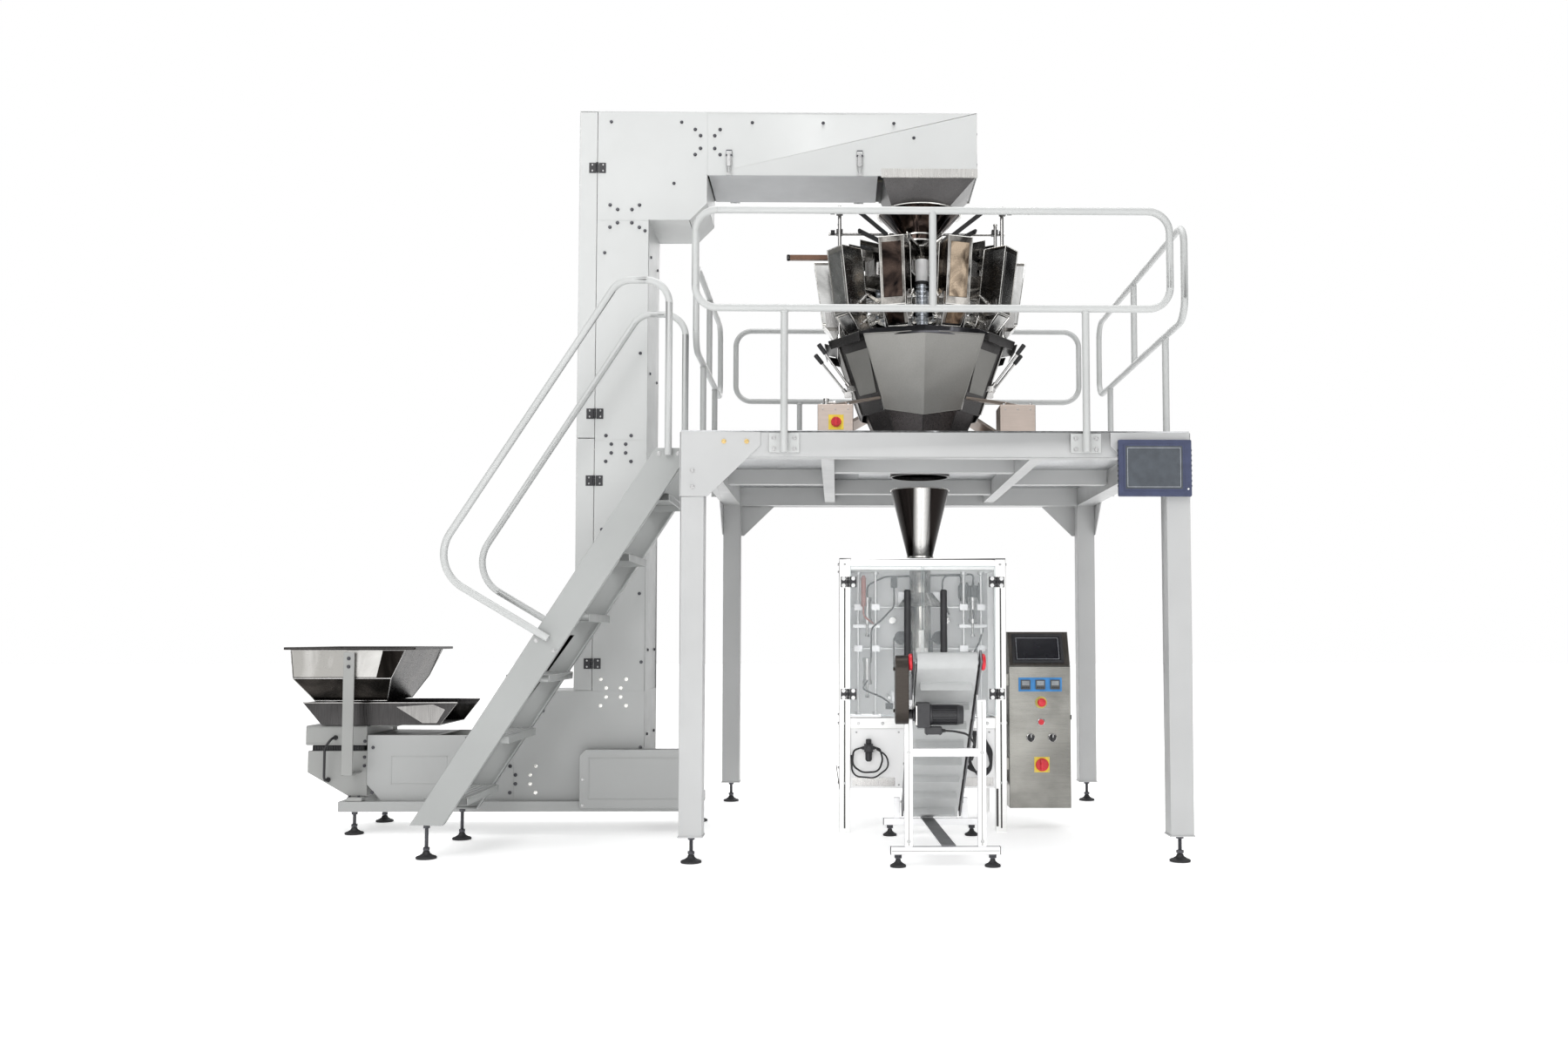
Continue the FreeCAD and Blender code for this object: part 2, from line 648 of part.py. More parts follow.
def side_door(name, z, hinges):
    """A column door that wraps round the left edge and swings on hinges at its front seam."""
    wrap = (COLUMN_LEFT, SEAM - 2)
    pieces = [block(wrap, sided(side, CASE_HALF - SHEET_METAL, CASE_HALF), z) for side in (-1, 1)]
    inside = (-CASE_HALF + SHEET_METAL, CASE_HALF - SHEET_METAL)
    pieces.append(block((COLUMN_LEFT, COLUMN_LEFT + SHEET_METAL), inside, z))
    for middle in hinges:
        pieces.append(moving_knuckle("z", middle, x=SEAM - 1, y=-CASE_HALF - 7))
        leaf = (SEAM - 42, SEAM - 8)
        tall = (middle - HINGE_HALF, middle + HINGE_HALF)
        pieces.append(block(leaf, (-CASE_HALF - 4, -CASE_HALF), tall))
    sub_part(name, pieces)


def elevator():
    """The casing with its doors, bucket chain, sprocket shafts, drive and discharge chute."""
    casing()
    side_door("upper_side_door", (DOOR_JOINT + 2, CASE_TOP - SHEET_METAL - 2), UPPER_HINGES)
    side_door("lower_side_door", (BASE_HIGH + 2, DOOR_JOINT - 2), LOWER_HINGES)
    cover = [block((STEP_X + 9, -222), (-CASE_HALF, CASE_HALF), (HEAD_LOW - 4, HEAD_LOW - 0.5))]
    for x in LATCHES:
        cover.append(moving_knuckle("x", x, y=CASE_HALF + 7, z=HEAD_LOW - 2))
        cover.append(block((x - 12, x + 12), (-CASE_HALF - 9, -CASE_HALF), (HEAD_LOW - 4, HEAD_LOW + 8)))
    sub_part("head_bottom_cover", cover)

    carry = [(-2560 + 250 * number, 300) for number in range(4)]
    climb = [(-1655, 520 + 250 * number) for number in range(12)]
    carry_head = [(-1480 + 250 * number, 3530) for number in range(6)]
    fall = [(-1465, 640 + 250 * number) for number in range(11)]
    buckets = []
    for x, z in carry + climb + carry_head + fall:
        low = [spot(x + a, y, z - 55) for a, y in ((-20, -140), (20, -140), (20, 140), (-20, 140))]
        high = [spot(x + a, y, z + 45) for a, y in ((-60, -150), (60, -150), (60, 150), (-60, 150))]
        buckets.append(prism(low, high))
    for side in (-1, 1):
        across = sided(side, 160, 168)
        runs = [((-2540, -1720), (330, 342)), ((-1661, -1649), (460, 3400)), ((-1500, -80), (3560, 3572)),
                ((-1471, -1459), (520, 3290)), ((-1340, -80), (3400, 3412)), ((-2540, -1560), (198, 210))]
        buckets += [block(x, across, z) for x, z in runs]
    sub_part("bucket_chain", buckets)
    for name, x, z in (("head_sprocket_shaft", 10, 3486), ("tail_sprocket_shaft", -2620, 270)):
        wheels = [rod("y", sided(side, 158, 170), 62, x=x, z=z) for side in (-1, 1)]
        spans = ((-195, -170), (-158, 158), (170, 195))
        sub_part(name, wheels, [rod("y", span, 18, x=x, z=z) for span in spans])

    guard_face = [(-1683, 130), (-1120, 130), (-1120, 414), (-1655, 414), (-1683, 386)]
    guard = [plate("xz", guard_face, (-270, -266)),
             block((-1683, -1120), (-266, -241), (126, 130)),
             block((-1655, -1124), (-266, -201), (410, 414)),
             block((-1683, -1679), (-266, -201), (164, 386)),
             block((-1124, -1120), (-266, -201), (164, 414))]
    sub_part("drive_guard", guard)
    motor = [block((-1376, -1150), (-190, 190), (RAIL_TOP, RAIL_TOP + 20)),
             block((-1340, -1210), (-180, -70), (RAIL_TOP + 20, 370)),
             rod("y", (-70, 150), 72, x=-1275, z=275), rod("y", (-235, -180), 16, x=-1275, z=275),
             block((-1320, -1230), (-30, 60), (RAIL_TOP + 20, 202))]
    sub_part("elevator_gearmotor", motor)
    chute = hopper(((-196, 276), (-195, 195)), ((-150, 150), (-130, 130)), (3170, 3298), SHEET_METAL)
    hung = (CASE_HALF + 0.5, CASE_HALF + 3)
    flange = [block((-205, 285), sided(side, *hung), (3296, 3340)) for side in (-1, 1)]
    flange += [block((-196, 276), sided(side, 195, hung[0]), (3296, 3300)) for side in (-1, 1)]
    sub_part("discharge_chute", chute, flange)


# ---------------------------------------------------------------- infeed
def infeed():
    """The infeed hopper on two posts, over a vibrating pan that stands on a box of its own."""
    depth = (-HOPPER_HALF, HOPPER_HALF)
    top, waist = (HOPPER_LEFT, HOPPER_RIGHT), (HOPPER_LEFT + 13, HOPPER_RIGHT - 66)
    foot = (HOPPER_LEFT + 80, HOPPER_RIGHT - 120)
    band = hopper((top, depth), (waist, depth), (HOPPER_WAIST, HOPPER_TOP), SHEET_METAL)
    funnel_part = hopper((waist, depth), (foot, (-190, 190)), (HOPPER_FOOT, HOPPER_WAIST), SHEET_METAL)
    rim_z = (HOPPER_TOP - 8, HOPPER_TOP + 4)
    rim_x = (HOPPER_LEFT - 30, HOPPER_RIGHT + 52)
    rim = [block(rim_x, sided(side, HOPPER_HALF, HOPPER_HALF + 12), rim_z) for side in (-1, 1)]
    rim.append(block((rim_x[0], HOPPER_LEFT), depth, rim_z))
    rim.append(block((HOPPER_RIGHT, rim_x[1]), depth, rim_z))
    sub_part("infeed_hopper", band, funnel_part, rim)

    floor_x = (-2965, -2385)
    side_face = [(-3059, PAN_TOP), (floor_x[0], PAN_FLOOR), (floor_x[1], PAN_FLOOR), (-2300, PAN_TOP)]
    pan = [plate("xz", side_face, sided(side, PAN_HALF, PAN_HALF + 4)) for side in (-1, 1)]
    pan.append(block(floor_x, (-PAN_HALF, PAN_HALF), (PAN_FLOOR, PAN_FLOOR + 4)))
    pan.append(strut(spot(-2968, 0, 535), spot(-3057, 0, 640), 2 * PAN_HALF, 3, Vector(0, 1, 0)))
    pan.append(block((-3048, BOX_RIGHT), (-BOX_HALF, BOX_HALF), (430, 527)))
    pan.append(block((BOX_RIGHT, BOX_RIGHT + 126), (-150, 150), (519, 527)))
    pan += [block((x, x + 40), (-150, 150), (527, PAN_FLOOR)) for x in (-2950, -2790)]
    sub_part("feeder_pan", pan)

    mounts = [rod("z", (403, 430), 22, x=x, y=y) for x in (-3000, -2790) for y in (-140, 140)]
    base_face = [(-3036, 403), (-3036, 297), (-2832, 180), (-2742, 180), (-2742, 403)]
    stand = [plate("xz", base_face, (-BOX_HALF, BOX_HALF))]
    post_x = (-2822, -2768)
    post_in = HOPPER_HALF + 14
    for side in (-1, 1):
        stand.append(block((-2826, -2750), sided(side, 150, 236), (RAIL_TOP, 180)))
        stand.append(block(post_x, sided(side, post_in, post_in + 8), (296, 890)))
        stand.append(block(post_x, sided(side, BOX_HALF, post_in), (296, 304)))
        stand.append(block((-2808, -2782), sided(side, HOPPER_HALF, post_in), (830, 850)))
    sub_part("vibrator_base", stand, mounts)

    route = [(-2900, -190, 468), (-2900, -245, 468), (-2932, -245, 420), (-2932, -245, 262),
             (-2932, -190, 262)]
    cable_radius = 6
    sub_part("vibrator_cable", bent_tube([spot(*corner) for corner in route], cable_radius, (24, 40, 24)))


# ---------------------------------------------------------------- weigher
def weigher():
    """Ten heads round one axis: troughs, feed hoppers and weigh hoppers over a ring of chutes."""
    stand = []
    for x, y in CORNERS:
        stand.append(block(sided(x, 350, 520), sided(y, 380, 540), (BEAM_HIGH + DECK, 2072)))
        foot, head = spot(425 * x, 450 * y, 2085), spot(252 * x, 252 * y, 2150)
        stand.append(strut(foot, head, 110, 16, Vector(1, -x * y, 0)))
    sub_part("weigher_stand", stand)

    drum = [cone(0, 0, (2480, 2700), (120, 150)), rod("z", (2700, 2862), 150, x=0, y=0)]
    spoke = [block((-12, 12), (-CHUTE_TOP - 8, -130), (2448, 2478))]
    body = [rod("z", (2448, 2480), 128, x=0, y=0)]
    spokes = ring(spoke, GAP_ANGLES)
    rim_panel = prism(*[[spot(x, y, z) for x, y in ring_outline(CHUTE_TOP + 9, CHUTE_TOP + 15)]
                        for z in (2440, 2478)])
    sub_part("weigher_body", drum, body, spokes, ring([rim_panel], HEAD_ANGLES))

    trough = [block((-48, 48), (-420, -165), (2900, 2903)), block((-48, -45), (-420, -165), (2903, 2945)),
              block((45, 48), (-420, -165), (2903, 2945)), block((-30, 30), (-330, -200), (2866, 2900))]
    cones = [cone(0, 0, (2946, 3000), (190, 12)), rod("z", (2862, 2946), 60, x=0, y=0)]
    sub_part("feeder_troughs", ring(trough, HEAD_ANGLES), cones)

    feed = hopper(((-62, 62), (-545, -424)), ((-60, 60), (-500, -385)), (2572, 2894), 2)
    feed.append(block((-20, 20), (-402, -151), (2720, 2780)))
    sub_part("feed_hoppers", ring(feed, HEAD_ANGLES))
    weigh = hopper(((-58, 58), (-496, -388)), ((-50, 50), (-420, -350)), (2486, 2566), 2)
    weigh.append(block((-48, 48), (-418, -352), (2482, 2486)))
    weigh.append(block((-10, 10), (-369, -140), (2530, 2550)))
    sub_part("weigh_hoppers", ring(weigh, HEAD_ANGLES))

    panel = prism(*[[spot(x, y, z) for x, y in ring_outline(radius - 4, radius)]
                    for radius, z in ((float(CHUTE_FOOT), 2090), (float(CHUTE_TOP), 2440))])
    chutes = ring([panel], HEAD_ANGLES)
    for angle in (72, 99, 261, 288):
        start, end = Vector(0, -545, 2440), Vector(0, -375, 2225)
        chutes += ring([round_bar(start, end, 7)], [angle])
    sub_part("collecting_chutes", chutes)
    lower = prism(*[[spot(x, y, z) for x, y in ring_outline(radius - 4, radius)]
                    for radius, z in ((145, float(MOUTH)), (288, 2130))])
    sub_part("collecting_funnel", ring([lower], HEAD_ANGLES))

    rods = []
    for x, y in CORNERS:
        rods.append(rod("z", (2478, 3150), 9, x=415 * x, y=140 * y))
        rods.append(block(sided(x, 398, 432), sided(y, 149.5, 189.5), (3110, 3140)))
    for y in (-1, 1):
        rods.append(rod("x", (-470, 470), 8, y=198 * y, z=3125))
    funnel_cone = funnel((3040, 3160), (97, 215))
    collar = funnel((3004, 3040), (97, 97))
    sensor = block((-673, -425), (-14, 14), (2924, 2950))
    sub_part("top_funnel", funnel_cone, collar, rods, sensor)


def ring_outline(inner, outer, sides=HEADS):
    """One side of a many-sided ring, as a mitred outline in plan at the front."""
    slope = math.tan(math.pi / sides)
    far, near = outer * slope, inner * slope
    return [(-far, -outer), (far, -outer), (near, -inner), (-near, -inner)]


# ---------------------------------------------------------------- bagger
def bagger():
    """The form fill sealer: frame, panels, forming tube, film path, pull belts and sealing jaws."""
    half, post = BAG_HALF, BAG_POST
    frame = []
    for side in (-1, 1):
        across = sided(side, half - post, half)
        frame.append(block(across, (BAG_FRONT, BAG_FRONT + post), (0, BAG_HIGH)))
        frame.append(block(across, (BAG_BACK - post, BAG_BACK), (0, BAG_HIGH)))
        for low in (LOW_RAIL, MID_RAIL, BAG_HIGH - post):
            frame.append(block(across, (BAG_FRONT + post, BAG_BACK - post), (low, low + post)))
    inner = (-half + post, half - post)
    for low in (MID_RAIL, BAG_HIGH - post):
        frame.append(block(inner, (BAG_FRONT, BAG_FRONT + post), (low, low + post)))
    for low in (LOW_RAIL, BAG_HIGH - post):
        frame.append(block(inner, (BAG_BACK - post, BAG_BACK), (low, low + post)))
    for x in (-165, 165):
        frame.append(rod("y", (BAG_FRONT + post, 120), 10, x=x, z=660))
    for x in (-1, 1):
        for z in DOOR_HINGES:
            frame += fixed_knuckles("z", z, x=372 * x, y=BAG_FRONT - 8)
            leaf = (z - HINGE_HALF, z + HINGE_HALF)
            frame.append(block(sided(x, 380, 408), (BAG_FRONT - 5, BAG_FRONT), leaf))
    frame += [rod("x", inner, 14, y=y, z=z) for y, z in ((488, 1075), (180, 1225))]
    frame.append(rod("x", inner, 37.5, y=ROLL_Y, z=ROLL_Z))
    sub_part("bagger_frame", frame)

    high = BAG_HIGH - post
    panels = [block(inner, (BAG_FRONT + 8, BAG_FRONT + 11), (LOW_RAIL, MID_RAIL)),
              block(inner, (120, 124), (MID_RAIL + post, high))]
    for side in (-1, 1):
        across = sided(side, half - post / 2 - 2, half - post / 2)
        panels.append(block(across, (BAG_FRONT + post, BAG_BACK - post), (270, MID_RAIL)))
        panels.append(block(across, (BAG_FRONT + post, BAG_BACK - post), (MID_RAIL + post, high)))
    sub_part("bagger_panels", panels)

    sub_part("filling_funnel", funnel((1368, 1720), (63, 150), 2.5))
    bore = rod("z", (699, 1367), TUBE_RADIUS - 2, x=0, y=0)
    tube = cut(rod("z", (700, 1366), TUBE_RADIUS, x=0, y=0), bore)
    shoulder = prism(*[[spot(x, y, z) for x, y in ring_outline(radius - 3, radius, 8)]
                       for radius, z in ((float(TUBE_RADIUS) + 62, 1120), (float(TUBE_RADIUS) + 6, 1190))])
    bracket = [block((-20, 20), (TUBE_RADIUS + 2, 120), (1210, 1250))]
    sub_part("forming_tube", tube, bracket, ring([shoulder], [45 * turn for turn in range(8)]))

    film = cut(rod("x", (-190, 190), 130, y=ROLL_Y, z=ROLL_Z), rod("x", (-191, 191), 38, y=ROLL_Y, z=ROLL_Z))
    sub_part("film_roll", film)
    web = [strut(spot(0, start[0], start[1]), spot(0, end[0], end[1]), 370, 1)
           for start, end in (((506, 310), (506, 1060)), ((494.8, 1089), (186.8, 1239)))]
    web.append(block((-60, 60), (-2, 2), (420, 696)))
    sub_part("film_web", web)

    for name, side in (("left_pull_belt", -1), ("right_pull_belt", 1)):
        wheel = [rod("y", (-25, 25), 34, x=98 * side, z=790), rod("y", (25, 59.5), 10, x=98 * side, z=790)]
        sub_part(name + "_pulley", wheel)
    belts = []
    for side in (-1, 1):
        for x in ((59, 63), (133, 137)):
            belts.append(block(sided(side, *x), (-25, 25), (790, 960)))
        belts.append(rod("y", (-25, 25), 34, x=98 * side, z=960))
        belts.append(block(sided(side, 70, 126), (40, 119), (940, 980)))
        belts.append(block(sided(side, 70, 126), (60, 119), (770, 810)))
        belts.append(rod("y", (25, 40), 10, x=98 * side, z=960))
    sub_part("film_pull_belts", belts)
    sub_part("vertical_sealer", block((-14, 14), (-84, -59), (760, 1000)),
             block((-30, 30), (-120, -84), (850, 910)))
    for name, side in (("front_jaw", -1), ("rear_jaw", 1)):
        jaw = [block((-150, 150), sided(side, 70, 100), (635, 685)),
               block((-140, 140), sided(side, 42, 70), (648, 672))]
        sub_part(name, jaw)
    doors()


def doors():
    """Clear doors whose outer edges turn on black hinges, each with a tall pull handle."""
    front = BAG_FRONT - 5
    for name, side, grip in (("left", -1, -79), ("right", 1, 100)):
        pane = [block(sided(side, 3, 362), (front - 6, front), (DOOR_LOW, DOOR_HIGH))]
        sub_part(name + "_door", pane)
        pieces = [rod("z", (862, 1192), GRIP, x=grip, y=front - 37 - GRIP)]
        for z in (880, 1174):
            pieces.append(rod("y", (front - 37, front - 6), 8, x=grip, z=z))
        for z in DOOR_HINGES:
            pieces.append(moving_knuckle("z", z, x=372 * side, y=BAG_FRONT - 8))
            leaf = (z - HINGE_HALF, z + HINGE_HALF)
            pieces.append(block(sided(side, 330, 364), (front - 11, front - 6), leaf))
        sub_part(name + "_door_fittings", pieces)


# ---------------------------------------------------------------- control cabinet
def slope_spot(up, out):
    """A point of the cabinet's slanted face, a distance up the slope and a distance out from it."""
    across, rise = SLOPE_HEAD[0] - SLOPE_FOOT[0], SLOPE_HEAD[1] - SLOPE_FOOT[1]
    length = math.hypot(across, rise)
    back = (across * up - rise * out) / length
    high = (rise * up + across * out) / length
    return SLOPE_FOOT[0] + back, SLOPE_FOOT[1] + high


def cabinet():
    """The control cabinet with its touch screen, temperature controllers, buttons and switches."""
    left, right, front, back = CABINET_LEFT, CABINET_RIGHT, CABINET_FRONT, CABINET_BACK
    skin = 2
    side_face = [(front, 112), (back, 112), (back, 990), SLOPE_HEAD, SLOPE_FOOT]
    shell = [plate("yz", side_face, (left, left + skin)), plate("yz", side_face, (right - skin, right))]
    inner = (left + skin, right - skin)
    shell.append(block(inner, (front, front + skin), (112, 815)))
    shell.append(block(inner, (back - skin, back), (112, 990)))
    shell.append(block(inner, (front + skin, back - skin), (112, 112 + skin)))
    shell.append(block(inner, (front + 82, back - skin), (990 - skin, 990)))
    face = [slope_spot(0, 0), slope_spot(189, 0), slope_spot(189, -skin), slope_spot(2, -skin)]
    shell.append(plate("yz", face, inner))
    for z in (300, 720):
        shell.append(block((BAG_HALF, left), (front + 10, front + 50), (z, z + 60)))
    shell.append(block((480, 700), (back - 30, back - 26), (200, 900)))
    for x, z in ((500, 640), (600, 640), (500, 420)):
        shell.append(block((x, x + 80), (back - 100, back - 30), (z, z + 120)))
    sub_part("control_cabinet", shell)
    bezel = [slope_spot(18, 0), slope_spot(172, 0), slope_spot(172, 8), slope_spot(18, 8)]
    panel = [plate("yz", bezel, (458, 712)), block((483, 701), (front - 3, front), (691, 761))]
    for x in (494, 568, 642):
        panel.append(block((x, x + 48), (front - 12, front - 3), (702, 750)))
    for x, z, radius in ((596, 637, 30), (595, 539, 18), (542, 461, 21), (651, 461, 21)):
        panel.append(rod("y", (front - 3, front), radius, x=x, z=z))
    panel.append(block((560, 636), (front - 3, front), (289, 365)))
    sub_part("operator_panel", panel)
    sub_part("emergency_stop", rod("y", (front - 32, front - 14), 21, x=596, z=637),
             rod("y", (front - 14, front - 8), 11, x=596, z=637))
    sub_part("push_button", rod("y", (front - 12, front - 7), 15, x=595, z=539))
    for name, x in (("left_selector", 542), ("right_selector", 651)):
        sub_part(name, rod("y", (front - 16, front - 3.5), 18, x=x, z=461),
                 block((x - 5, x + 5), (front - 26, front - 16), (441, 481)))
    sub_part("main_switch", rod("y", (front - 20, front - 3.5), 32, x=598, z=327),
             block((590, 606), (front - 34, front - 20), (299, 355)))
    sub_part("weigher_switch", rod("y", (-560, -540.5), 24, x=-432, z=1985),
             block((-438, -426), (-572, -560), (1964, 2006)))
    screen = [block((784, 1101), (-HALF - 40, -HALF - 14), (1568, 1814)),
              block((850, 1040), (-HALF - 14, -HALF - 6), (1600, 1780))]
    sub_part("weigher_screen", screen)


# ---------------------------------------------------------------- take-away conveyor
def conveyor():
    """An inclined conveyor from under the jaws to the front, with its drive at the top."""
    tail, head = spot(BELT_MIDDLE, TAIL_Y, TAIL_Z), spot(BELT_MIDDLE, HEAD_Y, HEAD_Z)
    along = (head - tail).normalize()
    up = Vector(1, 0, 0).cross(along) * -1
    if up.z < 0:
        up = up * -1

    def at(travel, lift, aside=0):
        """A point a distance up the conveyor from its tail, out from its belt and to one side."""
        return tail + along * travel + up * lift + Vector(aside, 0, 0)

    length = (head - tail).Length
    frame = []
    for side in (-1, 1):
        rail = (float(BELT_HALF) + 14) * side
        frame.append(strut(at(-25, 0, rail), at(length - 45, 0, rail), 10, 62))
        frame.append(strut(at(length - 45, 0, rail), at(length + 45, 0, rail), 10, 62))
        frame.append(block(sided_about(side, 137, 172), (-1182, -1148), (85, 700)))
        frame.append(block(sided_about(side, 150, 180), (-318, -288), (85, 185)))
    frame.append(block((BELT_MIDDLE - 137, BELT_MIDDLE + 137), (-1182, -1148), (462, 496)))
    for front in (-1182, -318):
        frame.append(block((BELT_MIDDLE - 230, BELT_MIDDLE + 230), (front, front + 32), (53, 85)))
    frame.append(strut(spot(45, -1170, 88), spot(10, -298, 88), 60, 6))
    for travel in (300, 800):
        frame.append(strut(at(travel, 0, -133.8), at(travel, 0, 133.8), 40, 20, along))
    sub_part("conveyor_frame", frame)

    belt = []
    reach = float(PULLEY) + 1.5
    half = float(BELT_HALF)
    for lift in (-reach, reach):
        belt.append(strut(at(0, lift), at(length, lift), 2 * half, 2))
        way = 1 if lift > 0 else -1
        for number in range(8):
            travel = 70 + 146 * number
            if travel < length - 40:
                belt.append(strut(at(travel, lift + way), at(travel, lift + 34 * way), 2 * half - 30, 4))
    sub_part("conveyor_belt", belt)
    for name, travel in (("conveyor_tail_pulley", 0), ("conveyor_head_pulley", length)):
        drum = round_bar(at(travel, 0, -half), at(travel, 0, half), PULLEY)
        ends = []
        for side in (-1, 1):
            ends.append(round_bar(at(travel, 0, half * side), at(travel, 0, (half + 8.5) * side), 12))
        sub_part(name, drum, ends)
    caps = []
    for side in (-1, 1):
        caps.append(round_bar(at(length, 0, (half + 19.5) * side), at(length, 0, (half + 34) * side), 34))
    guard_right = BELT_MIDDLE - BELT_HALF - 34
    guard = [block((guard_right - 56, guard_right), (-1312, -1196), (585, 905))]
    axis_y, axis_z = -1235, 640
    gearbox_left = guard_right + 34
    motor = [rod("x", (guard_right, gearbox_left), 14, y=axis_y, z=axis_z),
             block((gearbox_left, -40), (axis_y - 45, axis_y + 45), (590, 690)),
             rod("x", (-40, 100), 42, y=axis_y, z=axis_z),
             block((-60, 10), (axis_y - 35, axis_y + 25), (560, 590))]
    sub_part("conveyor_drive", caps, guard, motor)


def sided_about(side, low, high):
    """The span from low to high out from the belt's middle, on one side of it."""
    ends = sorted((float(BELT_MIDDLE) + low * side, float(BELT_MIDDLE) + high * side))
    return ends[0], ends[1]


# ---------------------------------------------------------------- build and write
def build():
    """Make every sub-part."""
    platform()
    handrails()
    stairs()
    feet()
    bolts()
    elevator()
    infeed()
    weigher()
    bagger()
    cabinet()
    conveyor()
    doc.recompute()


def check():
    """Stop if any feature failed or any sub-part has no valid shape."""
    for item in doc.Objects:
        broken = {"Invalid", "Error"} & set(item.State)
        if broken:
            raise RuntimeError(f"{item.Name} is {broken}")
    for group in SUB_PARTS:
        if group.Shape.isNull() or not group.Shape.isValid():
            raise RuntimeError(f"{group.Label} has no valid shape")


def write():
    """Write one STEP file for each sub-part and report the size of the whole line."""
    os.makedirs("parts", exist_ok=True)
    for group in SUB_PARTS:
        group.Shape.exportStep(f"parts/{group.Label}.step")
    box = Part.makeCompound([group.Shape for group in SUB_PARTS]).BoundBox
    print(f"{len(SUB_PARTS)} sub-parts, x {box.XMin:.1f} to {box.XMax:.1f}, "
          f"y {box.YMin:.1f} to {box.YMax:.1f}, z {box.ZMin:.1f} to {box.ZMax:.1f} mm")


build()
check()
write()
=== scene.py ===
import json
import math

import bmesh
import bpy
from mathutils import Matrix, Vector


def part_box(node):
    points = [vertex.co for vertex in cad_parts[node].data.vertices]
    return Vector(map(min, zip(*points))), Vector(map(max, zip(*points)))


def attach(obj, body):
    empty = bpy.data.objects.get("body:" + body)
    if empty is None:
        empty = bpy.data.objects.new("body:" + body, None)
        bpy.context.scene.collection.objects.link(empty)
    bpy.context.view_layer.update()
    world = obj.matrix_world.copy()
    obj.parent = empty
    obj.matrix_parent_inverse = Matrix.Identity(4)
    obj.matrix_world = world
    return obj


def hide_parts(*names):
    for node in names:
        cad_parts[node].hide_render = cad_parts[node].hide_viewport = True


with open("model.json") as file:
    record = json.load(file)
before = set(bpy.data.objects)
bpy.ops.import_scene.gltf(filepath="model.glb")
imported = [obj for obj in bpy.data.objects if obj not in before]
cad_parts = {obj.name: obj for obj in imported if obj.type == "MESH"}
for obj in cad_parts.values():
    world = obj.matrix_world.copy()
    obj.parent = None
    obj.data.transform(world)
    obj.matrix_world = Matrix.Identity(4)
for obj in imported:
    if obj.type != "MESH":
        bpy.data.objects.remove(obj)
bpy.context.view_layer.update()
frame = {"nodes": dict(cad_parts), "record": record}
NODES = frame["nodes"]
RECORD = frame["record"]

# Places are in millimetres from the drop axis, down which the product falls, with the floor at 0. The
# drop axis is the middle of the filling funnel.
MM = 0.001
low_corner, high_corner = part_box("filling_funnel")
DROP = Vector(((low_corner.x + high_corner.x) / 2, (low_corner.y + high_corner.y) / 2, 0))
X_AXIS, Y_AXIS, Z_AXIS = Vector((1, 0, 0)), Vector((0, 1, 0)), Vector((0, 0, 1))
HEAD_ANGLES = [18 + 36 * number for number in range(10)]
GAP_ANGLES = [36 * number for number in range(10)]


def row(place):
    """The row-frame point, in metres, of a place in millimetres from the drop axis."""
    return DROP + Vector(place) * MM


def extent(node):
    """The lowest and highest corner of a CAD node, in millimetres from the drop axis."""
    return tuple((corner - DROP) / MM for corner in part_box(node))


# ------------------------------------------------------------------ materials
def shader(name):
    """A new material with its nodes, links, shader and object coordinates."""
    made = bpy.data.materials.new(name)
    made.use_nodes = True
    tree = made.node_tree
    coordinates = tree.nodes.new("ShaderNodeTexCoord").outputs["Object"]
    return made, tree, tree.nodes["Principled BSDF"], coordinates


def noise(tree, coordinates, scale, detail=4, stretch=(1, 1, 1), distortion=0.0):
    """Noise over the object's own coordinates, stretched where a grain runs one way."""
    mapping = tree.nodes.new("ShaderNodeMapping")
    mapping.inputs["Scale"].default_value = stretch
    tree.links.new(coordinates, mapping.inputs["Vector"])
    texture = tree.nodes.new("ShaderNodeTexNoise")
    texture.inputs["Scale"].default_value = scale
    texture.inputs["Detail"].default_value = detail
    texture.inputs["Distortion"].default_value = distortion
    tree.links.new(mapping.outputs["Vector"], texture.inputs["Vector"])
    return texture.outputs["Fac"]


def ramp(tree, value, stops):
    """A colour or grey ramp over a value; each stop is its place and its colour."""
    node = tree.nodes.new("ShaderNodeValToRGB")
    elements = node.color_ramp.elements
    while len(elements) < len(stops):
        elements.new(0.5)
    for element, (place, colour) in zip(elements, stops):
        element.position = place
        element.color = (*colour, 1)
    tree.links.new(value, node.inputs["Fac"])
    return node.outputs["Color"]


def shade(colour, factor):
    return tuple(min(1.0, channel * factor) for channel in colour)


def grey(level):
    return (level, level, level)


def bump(tree, target, height, strength, distance):
    node = tree.nodes.new("ShaderNodeBump")
    node.inputs["Strength"].default_value = strength
    node.inputs["Distance"].default_value = distance
    tree.links.new(height, node.inputs["Height"])
    tree.links.new(node.outputs["Normal"], target.inputs["Normal"])


def times(tree, first, second):
    """Two colours multiplied together."""
    mix = tree.nodes.new("ShaderNodeMix")
    mix.data_type = "RGBA"
    mix.blend_type = "MULTIPLY"
    mix.inputs["Factor"].default_value = 1.0
    tree.links.new(first, mix.inputs["A"])
    tree.links.new(second, mix.inputs["B"])
    return mix.outputs["Result"]


def along_axis(tree, place, axis, low, high):
    """How far a point lies from low to high along one axis, as 0 to 1."""
    parts = tree.nodes.new("ShaderNodeSeparateXYZ")
    tree.links.new(place, parts.inputs["Vector"])
    spread = tree.nodes.new("ShaderNodeMapRange")
    spread.inputs["From Min"].default_value = low
    spread.inputs["From Max"].default_value = high
    tree.links.new(parts.outputs[axis], spread.inputs["Value"])
    return spread.outputs["Result"]


